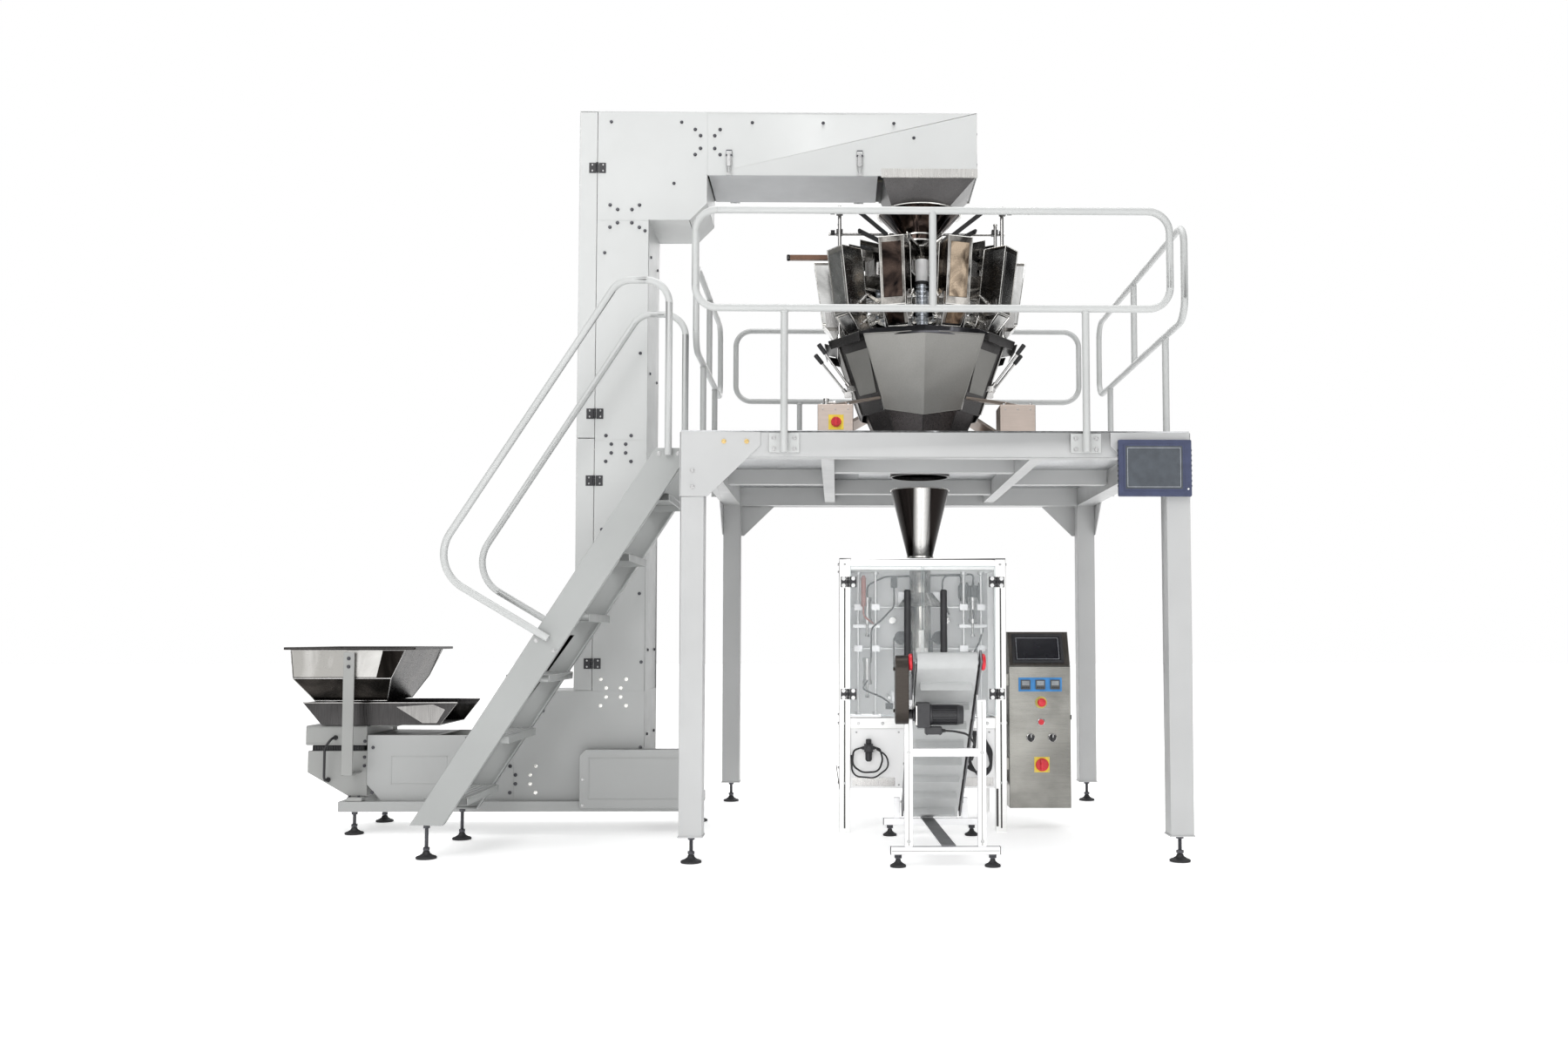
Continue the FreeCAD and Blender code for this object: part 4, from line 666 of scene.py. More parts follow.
def elevator():
    remade("elevator_casing", 2.2, CASING_WHITE, lambda low, high: not is_hinge_leaf(low, high))
    remade("elevator_casing", 1.5, BLACK_PLASTIC, is_hinge_leaf, "casing_hinges", "black_plastic")
    for door in ("upper_side_door", "lower_side_door"):
        remade(door, 2.2, CASING_WHITE, lambda low, high: not is_hinge_leaf(low, high))
        remade(door, 1.5, BLACK_PLASTIC, is_hinge_leaf, door + "_hinges", "black_plastic")
    remade("head_bottom_cover", 1.2, SHADED_UNDERSIDE_GREY)
    remade("drive_guard", 4, CASING_WHITE)

    bolts, light_bolts = Build(), Build()
    for wall, out in ((FRONT_WALL, -1), (-FRONT_WALL, 1)):
        for x, z, wide, tall, near_x, near_z in CROSS_GROUPS:
            for reach_x, reach_z in ((wide, tall), (near_x, near_z)):
                for way_x in (-1, 1):
                    for way_z in (-1, 1):
                        group = light_bolts if z == 690 or (z == 263 and way_x > 0) else bolts
                        group.hex_bolt((x + way_x * reach_x, wall, z + way_z * reach_z), (0, out, 0), 13, 6)
        for x, z in LONE_BOLTS:
            bolts.hex_bolt((x, wall, z), (0, out, 0), 12, 6)
    for z in (480, 900, 1500, 2300, 2900):
        for y in (-120, 120):
            bolts.hex_bolt((-1380, y, z), (1, 0, 0), 12, 6)
    for z in (3380, 3540):
        for y in (-150, 150):
            bolts.hex_bolt((282, y, z), (1, 0, 0), 12, 6)
    bolts.show("casing_bolts", DARK_BOLT, edge=0.4, slot="zinc")
    light_bolts.show("casing_light_bolts", EDGE_STEEL, edge=0.4, slot="zinc")

    screws = Build()
    for z in HINGE_PLACES["upper_side_door"] + HINGE_PLACES["lower_side_door"]:
        for up in (-15, 15):
            screws.dome_screw((SEAM + 29, FRONT_WALL - 4, z + up), (0, -1, 0))
    screws.show("hinge_screws", ZINC, slot="zinc")
    for door, places in HINGE_PLACES.items():
        moving = Build()
        for z in places:
            for up in (-15, 15):
                moving.dome_screw((SEAM - 25, FRONT_WALL - 4, z + up), (0, -1, 0))
        moving.show(door + "_screws", ZINC, door, slot="zinc")

    latch_parts()
    panel_lines()
    boot_and_drive()
    chute()


def is_hinge_leaf(low, high):
    """A hinge leaf or knuckle stands proud of the front wall beside the door seam."""
    return low.y < -200.5 and high.y < -199 and high.x < -1590 and high.x - low.x < 60 and high.z - low.z < 60


def latch_parts():
    """Toggle latches that hold the head's bottom cover, with rounded plates, levers and wire bails."""
    for x in LATCH_PLACES:
        side_name = "left" if x < -600 else "right"
        pivot = Build()
        pivot.box((x - 15, x + 15), (FRONT_WALL - 9, FRONT_WALL), (3396, 3430))
        pivot.rod((x - 17, FRONT_WALL - 10, 3402), (x + 17, FRONT_WALL - 10, 3402), 5)
        pivot.show(f"latch_pivot_{side_name}", DARK_BOLT, edge=1.5, slot="zinc")
        latch = Build()
        latch.box((x - 8, x + 8), (FRONT_WALL - 15, FRONT_WALL - 10.5), (3344, 3412))
        for way in (-1, 1):
            latch.pipe([(x + 12 * way, FRONT_WALL - 10, 3400), (x + 14 * way, FRONT_WALL - 12, 3350),
                        (x + 9 * way, FRONT_WALL - 11.5, 3308)], 2, 10, 8, 3)
        latch.rod((x - 9, FRONT_WALL - 11.5, 3308), (x + 9, FRONT_WALL - 11.5, 3308), 2)
        latch.show(f"latch_lever_{side_name}", ZINC, edge=1.2, slot="zinc")
    keepers = Build()
    for x in LATCH_PLACES:
        keepers.box((x - 14, x + 14), (FRONT_WALL - 11, FRONT_WALL - 9), (3298, 3311))
        keepers.box((x - 14, x + 14), (FRONT_WALL - 15, FRONT_WALL - 11), (3298, 3302))
    keepers.show("latch_keepers", ZINC, "head_bottom_cover", 0.8, slot="zinc")


def panel_lines():
    """Pressed ridges, folded joint strips and the stiffening frame on the boot."""
    lines = Build()
    for wall, out in ((FRONT_WALL, -1), (-FRONT_WALL, 1)):
        span = sorted((wall, wall + 1.6 * out))
        for z in (1950, 3066):
            lines.box((-1638, -1382), span, (z, z + 5))
        lines.box((-1090, -1085), span, (3306, 3626))
        lines.box((-1087, 280), span, (3622, 3627))
        low_x, high_x, low_z, high_z = -2622, -2348, 240, 378
        lines.box((low_x, high_x), span, (high_z - 4, high_z))
        lines.box((low_x, high_x), span, (low_z, low_z + 4))
        lines.box((low_x, low_x + 4), span, (low_z, high_z))
        lines.box((high_x - 4, high_x), span, (low_z, high_z))
        lines.box((-2021, -1382), span, (694, 698))
        lines.box((-2025, -2021), span, (164, 612))
    lines.show("casing_ridges", CASING_WHITE, edge=0.7, slot="casing_paint")


def boot_and_drive():
    guard = Build()
    guard.box((-1640, -1160), (-272, -270), (170, 174))
    guard.box((-1640, -1160), (-272, -270), (370, 374))
    guard.box((-1640, -1636), (-272, -270), (170, 374))
    guard.box((-1164, -1160), (-272, -270), (170, 374))
    guard.show("drive_guard_ridge", CASING_WHITE, edge=0.8, slot="casing_paint")
    screws = Build()
    for x in (-1668, -1135):
        for z in (145, 270, 395):
            if x < -1200 and z == 395:
                continue
            screws.hex_bolt((x, -270, z), (0, -1, 0), 10, 5)
    screws.show("drive_guard_screws", ZINC, edge=0.4, slot="zinc")
    motor = Build()
    for number in range(18):
        angle = 2 * math.pi * number / 18
        way = Vector((math.cos(angle), 0, math.sin(angle)))
        motor.strut(Vector((-1275, -50, 275)) + way * 74, Vector((-1275, 130, 275)) + way * 74, 3, 9, Y_AXIS.cross(way))
    motor.lathe((-1275, 150, 275), (0, 1, 0), [(0, 72), (8, 78), (26, 78), (34, 60)], 32)
    motor.show("gearmotor_fins", BLACK_PLASTIC, slot="black_plastic")
    remade("elevator_gearmotor", 3, BLACK_PLASTIC)


def chute():
    remade("discharge_chute", 1.4, DARK_STEEL, lambda low, high: high.z - low.z > 90)
    remade("discharge_chute", 1.2, STAINLESS, lambda low, high: high.z - low.z < 90, "chute_flanges",
           "casing_paint")
    rims = Build()
    for side in (-1, 1):
        rims.rod((-204, side * 196, 3297), (284, side * 196, 3297), 3.2, sides=10)
        rims.rod((-150, side * 130, 3171), (150, side * 130, 3171), 3, sides=10)
        for x in (-180, -90, 0, 90, 180, 262):
            rims.hex_bolt((x, side * 203, 3310), (0, side, 0), 10, 5)
    rims.show("chute_rims", STAINLESS, slot="dark_stainless")


# ------------------------------------------------------------------ infeed
HOPPER_X = (-3084, -2530)
WAIST_X = (-3071, -2596)
FOOT_X = (-3004, -2650)


def infeed():
    """The hopper, with painted reflections: bright on its upper front and dark elsewhere, over the vibrating pan and
    its boxes.
    """
    remade("infeed_hopper", 1.5, DARK_MIRROR)
    # A thin bright sheet on the hopper's upper front is a painted reflection.
    reflection_sheets = Build()
    for side in (-1, 1):
        front = side * 301.2
        span = sorted((side * 300, front))
        reflection_sheets.prism([(-3080, 905), (-3067, 769), (-2668, 769), (-2640, 890), (-2640, 905)], span)
    reflection_sheets.show("infeed_front_reflection", HOPPER_REFLECTION, edge=0.5, slot="stainless")
    rim = Build()
    corners_of_rim = [(-3108, -306, 908), (-2484, -306, 908), (-2484, 306, 908), (-3108, 306, 908)]
    for start, end in zip(corners_of_rim, corners_of_rim[1:] + corners_of_rim[:1]):
        rim.rod(start, end, 6.5, sides=14)
    rim.show("hopper_rim", DARK_STEEL, slot="stainless")
    lines = Build()
    for side in (-1, 1):
        lines.rod((HOPPER_X[0], side * 301, 900), (HOPPER_X[1], side * 301, 900), 2.2, sides=10)
        lines.rod((WAIST_X[0], side * 301, 763), (WAIST_X[1], side * 301, 763), 2.6, sides=10)
        lines.rod((FOOT_X[0], side * 191, 650), (FOOT_X[1], side * 191, 650), 2.6, sides=10)
        for high, waist, foot in zip(HOPPER_X, WAIST_X, FOOT_X):
            lines.rod((high, side * 300, 900), (waist, side * 300, 763), 2.4, sides=10)
            lines.rod((waist, side * 300, 763), (foot, side * 190, 650), 2.4, sides=10)
    lines.show("hopper_seams", STAINLESS_BRIGHT, slot="stainless")
    remade("feeder_pan", 1.2, DARK_STEEL, lambda low, high: high.z > 528.5, "feeder_trough")
    remade("feeder_pan", 7, BOX_GREY, lambda low, high: high.z <= 528.5, "vibrator_box", "casing_paint")
    lips = Build()
    for side in (-1, 1):
        lips.rod((-3058, side * 206, 640), (-2301, side * 206, 640), 3.4, sides=10)
        lips.rod((-2301, side * 205, 640), (-2385, side * 205, 531), 2.4, sides=8)
    lips.show("feeder_lips", FUNNEL_STEEL, "feeder_pan", slot="dark_stainless")
    # A lighter patch on each side of the trough is a painted reflection.
    trough_reflections = Build()
    for side in (-1, 1):
        span = sorted((side * 205, side * 206.4))
        trough_reflections.prism([(-2600, 620), (-2470, 540), (-2400, 540), (-2360, 606), (-2420, 632)], span)
    trough_reflections.show("feeder_painted_reflection", FUNNEL_STEEL, "feeder_pan", 0.5, slot="dark_stainless")
    lid = Build()
    for z in (436, 516):
        lid.box((-3040, -2752), (-192, -190), (z, z + 3))
    lid.show("vibrator_box_trim", BOX_GREY, "feeder_pan", 0.6, slot="casing_paint")
    remade("vibrator_base", 5, BOX_GREY, lambda low, high: high.x - low.x > 50 or high.z - low.z < 29,
           "vibrator_stand")
    mounts, skirt = Build(), Build()
    for x in (-3000, -2790):
        for y in (-140, 140):
            mounts.lathe((x, y, 403), Z_AXIS, [(0, 20), (4, 24), (9, 18), (13.5, 24), (18, 18), (23, 24), (27, 20)], 28)
    mounts.show("rubber_mounts", RUBBER, stands_for=("vibrator_base",), slot="black_rubber")
    skirt.box((-3020, -2764), (-172, 172), (403, 428))
    for rib in range(22):
        x = -3016 + 11.6 * rib
        for side in (-1, 1):
            skirt.box((x, x + 6), sorted((side * 172, side * 177)), (404, 427))
    skirt.show("vibrator_skirt", RUBBER, edge=1, slot="black_rubber")
    bolts = Build()
    for side in (-1, 1):
        for z in (860, 820):
            bolts.hex_bolt((-2795, side * 322, z), (0, side, 0), 13, 6)
        for x, z in ((-2756, 372), (-2756, 330), (-2756, 450)):
            bolts.hex_bolt((x, side * 190, z), (0, side, 0), 12, 6)
        for x in (-2818, -2772):
            bolts.hex_bolt((x, side * 214, 180), Z_AXIS, 12, 6)
    bolts.show("infeed_bolts", DARK_BOLT, edge=0.4, slot="zinc")
    glands = Build()
    for x, z in ((-2900, 468), (-2932, 262)):
        glands.lathe((x, -190, z), (0, -1, 0), [(0, 13), (3, 13), (4, 11), (14, 11), (16, 8), (20, 7)], 6)
    glands.show("cable_glands", RUBBER, slot="black_rubber")


# ------------------------------------------------------------------ weigher
FEED_TOP = ((62, -545, -424), 2894)
FEED_FOOT = ((60, -500, -385), 2572)
WEIGH_TOP = ((58, -496, -388), 2566)
WEIGH_FOOT = ((50, -420, -350), 2486)
FRONT_HEADS = (18, 342)
SIDE_HEADS = [angle for angle in HEAD_ANGLES if angle not in FRONT_HEADS]
# Painted reflections and highlights: each head's stainless front gets one of four copies, dark, warm, grey and pale.
FRONT_REFLECTIONS = {"dark": (MIRROR_DARK, (342, 126, 162, 198, 234)), "warm": (WARM_MIRROR, (18,)),
               "grey": (GREY_MIRROR, (54, 306)), "pale": (PALE_MIRROR, (90, 270))}


def corners(level):
    """The four corners of a hopper's outline at one height."""
    (half, front, back), up = level
    return [Vector((x, y, up)) for x, y in ((-half, front), (half, front), (half, back), (-half, back))]


def hopper_edges(piece, top, foot, radius):
    """Folded edges round a hopper: its rim, its foot and its four upright corners."""
    for level in (top, foot):
        points = corners(level)
        for start, end in zip(points, points[1:] + points[:1]):
            piece.rod(start, end, radius, sides=8)
    for start, end in zip(corners(top), corners(foot)):
        piece.rod(start, end, radius, sides=8)


def hoppers():
    for node in ("feed_hoppers", "weigh_hoppers"):
        remade(node, 0.8, MIRROR_STEEL)
    edges = Build()
    hopper_edges(edges, FEED_TOP, FEED_FOOT, 2.4)
    hopper_edges(edges, WEIGH_TOP, WEIGH_FOOT, 2)
    edges.around(HEAD_ANGLES).show("hopper_edges", EDGE_STEEL, slot="mirror_stainless")

    for group, (material, angles) in FRONT_REFLECTIONS.items():
        head_front_reflections(angles, "head_front_reflections_" + group, material)
    hopper_gates()


def head_front_reflections(angles, name, material):
    """Pressed front panels on the feed and weigh hoppers of some heads, in a copy of the stainless painted with that
    head's reflections.
    """
    fronts = Build()
    fronts.hull([(-50, -540, 2870), (50, -540, 2870), (48, -504, 2606), (-48, -504, 2606)],
                [(-48, -544, 2866), (48, -544, 2866), (46, -508, 2610), (-46, -508, 2610)])
    fronts.hull([(-44, -491, 2560), (44, -491, 2560), (38, -428, 2496), (-38, -428, 2496)],
                [(-42, -495, 2557), (42, -495, 2557), (36, -432, 2494), (-36, -432, 2494)])
    for side in (-1, 1):
        outer = side * 62
        skin = side * 63.2
        fronts.hull([(outer, -541, 2880), (outer, -430, 2880), (side * 60, -388, 2580), (side * 60, -499, 2580)],
                    [(skin, -541, 2880), (skin, -430, 2880), (side * 61.2, -388, 2580), (side * 61.2, -499, 2580)])
    fronts.around(angles).show(name, material, edge=1, slot="mirror_stainless")


def hopper_gates():
    """Gates under the hoppers with their pivots and springs."""
    gates = Build()
    for side in (-1, 1):
        x = sorted((side * 62, side * 65))
        gates.prism([(-492, 2634), (-436, 2634), (-398, 2578), (-430, 2556), (-484, 2556)], x, "yz")
        gates.prism([(-470, 2538), (-404, 2538), (-362, 2484), (-392, 2468), (-436, 2478)],
                    sorted((side * 57, side * 60)), "yz")
        gates.rod((side * 61, -446, 2616), (side * 74, -446, 2616), 6, sides=16)
        gates.rod((side * 61, -412, 2580), (side * 72, -412, 2580), 5, sides=16)
        gates.rod((side * 56, -420, 2520), (side * 68, -420, 2520), 5.5, sides=16)
        gates.rod((side * 56, -384, 2490), (side * 66, -384, 2490), 4.5, sides=16)
    gates.prism([(-430, 2562), (-486, 2572), (-484, 2578), (-426, 2568)], (-58, 58), "yz")
    gates.around(HEAD_ANGLES).show("hopper_gates", STAINLESS_BRIGHT, edge=0.8, slot="stainless")

    springs = Build()
    for side in (-1, 1):
        springs.spring((side * 71, -446, 2616), (side * 71, -392, 2672), 5.5, 1.3, 9)
        springs.spring((side * 65, -420, 2520), (side * 65, -366, 2566), 4.5, 1.2, 8)
    springs.around(HEAD_ANGLES).show("hopper_springs", EDGE_STEEL, slot="mirror_stainless")


def linkages():
    """The actuator housings on the drum and the cranked arms that open the hopper gates."""
    housings = Build()
    housings.box((-46, 46), (-238, -146), (2590, 2700))
    housings.box((-40, 40), (-222, -132), (2492, 2576))
    housings.around(HEAD_ANGLES).show("actuator_housings", STAINLESS_BRIGHT, edge=9, slot="stainless")

    arms = Build()
    for side in (-1, 1):
        x = side * 34
        arms.strut((x, -236, 2676), (x, -318, 2656), 22, 4, Z_AXIS)
        arms.strut((x + side * 5, -312, 2658), (x + side * 5, -402, 2694), 18, 4, Z_AXIS)
        arms.strut((x, -236, 2612), (x, -352, 2626), 20, 4, Z_AXIS)
        arms.strut((x + side * 5, -346, 2628), (x + side * 8, -412, 2592), 16, 4, Z_AXIS)
        arms.strut((x - side * 4, -220, 2540), (x - side * 4, -304, 2552), 20, 4, Z_AXIS)
        arms.strut((x, -300, 2552), (x + side * 4, -374, 2516), 16, 4, Z_AXIS)
        for y, z, radius in ((-236, 2676, 12), (-316, 2657, 11), (-400, 2692, 9), (-236, 2612, 11),
                             (-350, 2627, 12), (-412, 2592, 9), (-220, 2540, 10), (-302, 2552, 11),
                             (-374, 2516, 8)):
            arms.rod((x - side * 7, y, z), (x + side * 11, y, z), radius, sides=18)
    arms.box((-52, 52), (-404, -398), (2640, 2712))
    arms.box((-40, 40), (-384, -378), (2498, 2556))
    for x in (-38, 38):
        arms.hex_bolt((x, -404, 2700), (0, -1, 0), 11, 6)
        arms.hex_bolt((x, -404, 2652), (0, -1, 0), 11, 6)
    arms.around(HEAD_ANGLES).show("gate_linkages", EDGE_STEEL, edge=0.8, slot="mirror_stainless")

    pulls = Build()
    for side in (-1, 1):
        pulls.spring((side * 41, -316, 2657), (side * 41, -350, 2600), 5, 1.3, 9)
        pulls.spring((side * 24, -300, 2552), (side * 24, -240, 2584), 4.5, 1.2, 8)
    pulls.around(HEAD_ANGLES).show("linkage_springs", EDGE_STEEL, slot="mirror_stainless")


def vibrators():
    """Under every trough a vibrator drum on leaf springs, and covered drives in the gaps between heads."""
    remade("feeder_troughs", 0.8, MIRROR_STEEL)
    drums = Build()
    drums.lathe((0, -272, 2792), Z_AXIS, [(0, 34), (4, 38), (66, 38), (72, 34), (74, 30)], 28)
    drums.box((-38, 38), (-326, -318), (2784, 2872))
    drums.box((-38, 38), (-222, -214), (2784, 2872))
    drums.box((-42, 42), (-338, -206), (2776, 2786))
    drums.rod((0, -170, 2750), (0, -170, 2866), 9, sides=14)
    drums.around(HEAD_ANGLES).show("trough_vibrators", STAINLESS_BRIGHT, edge=2, slot="stainless")
    rims = Build()
    for side in (-1, 1):
        rims.rod((side * 46.5, -420, 2945), (side * 46.5, -168, 2945), 2.6, sides=8)
    rims.rod((-48, -420, 2902), (48, -420, 2902), 2.4, sides=8)
    rims.around(HEAD_ANGLES).show("trough_lips", EDGE_STEEL, slot="mirror_stainless")
    covers = Build()
    covers.lathe((0, -205, 2754), Z_AXIS, [(0, 32), (3, 34), (104, 34), (112, 31), (114, 22)], 32)
    covers.around(GAP_ANGLES).show("vibrator_covers", WHITE_PLASTIC, slot="bucket_plastic")
    rings = Build()
    rings.lathe((0, -205, 2736), Z_AXIS, [(0, 34), (3, 37), (15, 37), (18, 34)], 32)
    rings.around(GAP_ANGLES).show("cover_rings", RUBBER, slot="black_rubber")
    columns = Build()
    profile = []
    for rib in range(11):
        up = 24 * rib
        profile += [(up, 30), (up + 5, 34), (up + 17, 34), (up + 22, 30)]
    columns.lathe((0, -205, 2480), Z_AXIS, profile[:-1], 28)
    columns.around(GAP_ANGLES).show("ribbed_columns", PALE_BLUE, slot="stainless")
    cone_rib = Build()
    cone_rib.lathe((0, 0, 2944), Z_AXIS, [(0, 196), (3, 198), (6, 193), (8, 188)], 48)
    cone_rib.lathe((0, 0, 2996), Z_AXIS, [(0, 18), (5, 15), (9, 6)], 24)
    cone_rib.show("cone_rim", EDGE_STEEL, slot="mirror_stainless")


def weigher_frame():
    # Painted shade: the weigher body is in dark steel, so its rim above the chutes sinks into shade.
    remade("weigher_body", 2, DARK_BOLT)
    remade("weigher_stand", 5, STAND_STEEL)
    bolts = Build()
    for angle_x, angle_y in ((-1, -1), (1, -1), (-1, 1), (1, 1)):
        for x in (372, 498):
            for y in (400, 520):
                bolts.hex_bolt((angle_x * x, angle_y * y, 2072), Z_AXIS, 14, 7)
        for x in (375, 435, 495):
            for z in (1880, 2048):
                bolts.dome_screw((angle_x * x, angle_y * 540, z), (0, angle_y, 0), 5)
    bolts.show("stand_bolts", ZINC, edge=0.5, slot="zinc")
    lids = Build()
    for x in (-1, 1):
        for y in (-1, 1):
            lids.box(sorted((x * 362, x * 508)), sorted((y * 540, y * 542)), (1872, 2056))
    lids.show("stand_lids", STAND_STEEL, edge=0.8, slot="stainless")
    valve = Build()
    valve.lathe((-480, -470, 2072), Z_AXIS, [(0, 15), (4, 15), (5, 10), (22, 10), (23, 14), (38, 14), (40, 9)], 20)
    valve.rod((-480, -470, 2092), (-446, -470, 2092), 6, sides=14)
    valve.lathe((-446, -470, 2092), X_AXIS, [(0, 9), (12, 9), (14, 6)], 6)
    valve.show("stand_valve", STAINLESS_BRIGHT, slot="stainless")
    plate = Build()
    plate.box((-468, -396), (-544.5, -542), (1949, 2021))
    plate.show("weigher_switch_plate", YELLOW, edge=1.5, slot="screen")
    knob("weigher_switch", (-432, -544.6, 1985), 24, 27)


def knob(node, place, radius, high):
    """A red rotary switch: a round base and a raised grip bar."""
    made = Build()
    made.lathe(place, (0, -1, 0), [(0, radius * 0.92), (2, radius), (high * 0.42, radius), (high * 0.5, radius * 0.9)], 40)
    x, y, z = place
    grip_half = radius * 0.26
    made.box((x - grip_half, x + grip_half), (y - high, y - high * 0.45), (z - radius * 0.84, z + radius * 0.84))
    made.show(node + "_knob", RED, body_of(node), 2, (node,), slot_of(node))


def chute_corner(angle, radius):
    slope = math.tan(math.radians(18))
    return Vector((radius * slope * angle, -radius, 0))


def chute_panel(low, high, low_z, high_z, inset=0.0, out=0.0, thick=3.0):
    """The low and high outline of a flat chute panel at the front, inset from its edges."""
    rows = []
    for radius, z in ((low, low_z), (high, high_z)):
        half = radius * math.tan(math.radians(18)) - inset
        rows.append(((half, radius + out, z)))
    (low_half, low_radius, low_up), (high_half, high_radius, high_up) = rows
    outer = [Vector((-low_half, -low_radius, low_up)), Vector((low_half, -low_radius, low_up)),
             Vector((high_half, -high_radius, high_up)), Vector((-high_half, -high_radius, high_up))]
    inner = [point + Vector((0, thick, 0)) for point in outer]
    return outer, inner


def chutes():
    front = Build()
    for side in (-1, 1):
        seam_top, seam_foot = (0, -450, 2452), (0, -324, 2062)
        outer_top, outer_foot = (side * 297, -374, 2450), (side * 188, -266, 2098)
        points = [seam_top, outer_top, outer_foot, seam_foot]
        front.hull(points, [(x * 0.99, y + 5, z) for x, y, z in points])
        front.rod(seam_top, outer_top, 3, sides=10)
        front.rod(seam_foot, outer_foot, 2.6, sides=10)
        front.rod(outer_top, outer_foot, 2.6, sides=10)
    front.show("front_chutes", CHUTE_GREY, edge=0.8, stands_for=("collecting_chutes",), slot="chute_grey")
    dark = Build()
    dark.hull(*chute_panel(300, 420, 2090, 2440, 0.6))
    dark.around(HEAD_ANGLES).show("side_chutes", DARK_STEEL, edge=0.8, stands_for=("collecting_chutes",),
                                  slot="chute_grey")
    inner = Build()
    inner.hull(*chute_panel(332, 404, 2184, 2394, 40, 5, 4))
    inner.around(SIDE_HEADS).show("chute_windows", CHUTE_GREY, edge=1, slot="chute_grey")
    borders = Build()
    for side in (-1, 1):
        borders.strut((side * 96, -306, 2096), (side * 131, -424, 2438), 7, 5, X_AXIS)
    borders.strut((-133, -425, 2438), (133, -425, 2438), 8, 4, Z_AXIS)
    borders.around(SIDE_HEADS).show("chute_borders", FUNNEL_STEEL, edge=0.8, slot="stainless")

    flaps = Build()
    flaps.hull([(-118, -424, 2438), (118, -424, 2438), (118, -420, 2438), (-118, -420, 2438)],
               [(-128, -492, 2452), (128, -492, 2452), (128, -490, 2456), (-128, -490, 2456)])
    flaps.hull([(-128, -492, 2452), (128, -492, 2452), (128, -489, 2452), (-128, -489, 2452)],
               [(-120, -480, 2414), (120, -480, 2414), (120, -477, 2414), (-120, -477, 2414)])
    flaps.around([54, 90, 126, 234, 270, 306]).show("chute_flaps", DARK_STEEL, edge=0.8, slot="chute_grey")

    rods, sleeves = Build(), Build()
    start, end = Vector((0, -545, 2440)), Vector((0, -375, 2225))
    along = (end - start).normalized()
    rods.rod(start, end, 6, sides=16)
    rods.rod(end - along * 40, end, 11, sides=16)
    rods.box((-16, 16), (-392, -352), (2212, 2240))
    rods.around((72, 99, 261, 288)).show("chute_latch_rods", STAINLESS_BRIGHT, edge=0.8,
                                         stands_for=("collecting_chutes",), slot="stainless")
    sleeves.lathe(start - along * 6, along, [(0, 9), (3, 12), (58, 11), (62, 8)], 20)
    sleeves.around((72, 99, 261, 288)).show("latch_sleeves", RUBBER, slot="black_rubber")

    # Painted shade: the lower funnel is in dark steel.
    lower = Build()
    lower.hull(*chute_panel(145, 288, 1800, 2130, 0.4))
    lower.around(HEAD_ANGLES).show("lower_funnel", LOWER_FUNNEL_SHADE, edge=0.6, stands_for=("collecting_funnel",),
                                   slot="dark_stainless")
    seams = Build()
    seam_half = math.tan(math.radians(18))
    seams.rod((146 * seam_half, -146, 1804), (289 * seam_half, -289, 2130), 2.2, sides=8)
    seams.rod((-289 * seam_half, -289, 2130), (289 * seam_half, -289, 2130), 4, sides=8)
    seams.around(HEAD_ANGLES).show("funnel_seams", DARK_STEEL, slot="dark_stainless")
    mouth = Build()
    mouth.lathe((0, 0, 1804), Z_AXIS, [(0, 152), (-16, 154), (-18, 152), (-18, 143), (0, 143)], 40)
    mouth.show("funnel_mouth", DARK_STEEL, slot="dark_stainless")


def top_funnel():
    remade("top_funnel", 1, MIRROR_DARK, lambda low, high: high.x - low.x > 400 and high.y - low.y > 400, "top_cone")
    remade("top_funnel", 1, STAINLESS_BRIGHT, is_rod_or_collar, "top_rods")
    remade("top_funnel", 4, DARK_STEEL, is_clamp, "rod_clamps")
    remade("top_funnel", 3, BROWN, lambda low, high: high.x < -424 and low.z > 2900 and high.z < 2960,
           "level_sensor", "black_plastic")
    trim = Build()
    trim.lathe((0, 0, 3160), Z_AXIS, [(-4, 213), (-3, 220), (1, 221), (3, 216), (1, 211)], 64)
    trim.lathe((0, 0, 3040), Z_AXIS, [(-5, 99), (-3, 105), (3, 105), (6, 100)], 48)
    trim.lathe((0, 0, 3004), Z_AXIS, [(0, 98), (1, 103), (7, 103), (9, 98)], 48)
    for x in (-415, 415):
        for y in (-140, 140):
            trim.lathe((x, y, 3150), Z_AXIS, [(0, 9), (2, 11), (12, 11), (15, 7)], 16)
            trim.lathe((x, y, 2478), Z_AXIS, [(0, 20), (8, 20), (10, 15), (20, 15)], 20)
    for x in (-470, 470):
        for y in (-198, 198):
            trim.rod((x - 3, y, 3125), (x + 3, y, 3125), 10, sides=16)
    trim.show("funnel_trim", EDGE_STEEL, slot="mirror_stainless")
    straps = Build()
    for x in (-1, 1):
        for y in (-1, 1):
            straps.strut((x * 309, y * 150, 3128), (x * 150, y * 70, 3022), 24, 3, Z_AXIS)
            straps.rod((x * 309, y * 134, 3128), (x * 309, y * 166, 3128), 9, sides=14)
            straps.rod((x * 440, y * 169, 3125), (x * 462, y * 169, 3125), 13, sides=20)
    straps.show("funnel_straps", RUBBER, edge=0.8, slot="black_rubber")
    sensor = Build()
    sensor.lathe((-673, 0, 2937), (-1, 0, 0), [(0, 15), (3, 17), (14, 17), (17, 13)], 20)
    sensor.rod((-440, 0, 2937), (-404, 0, 2937), 8, sides=14)
    sensor.strut((-425, -16, 2937), (-425, -140, 2937), 20, 4, Z_AXIS)
    sensor.show("sensor_mount", DARK_STEEL, edge=0.8, slot="dark_stainless")


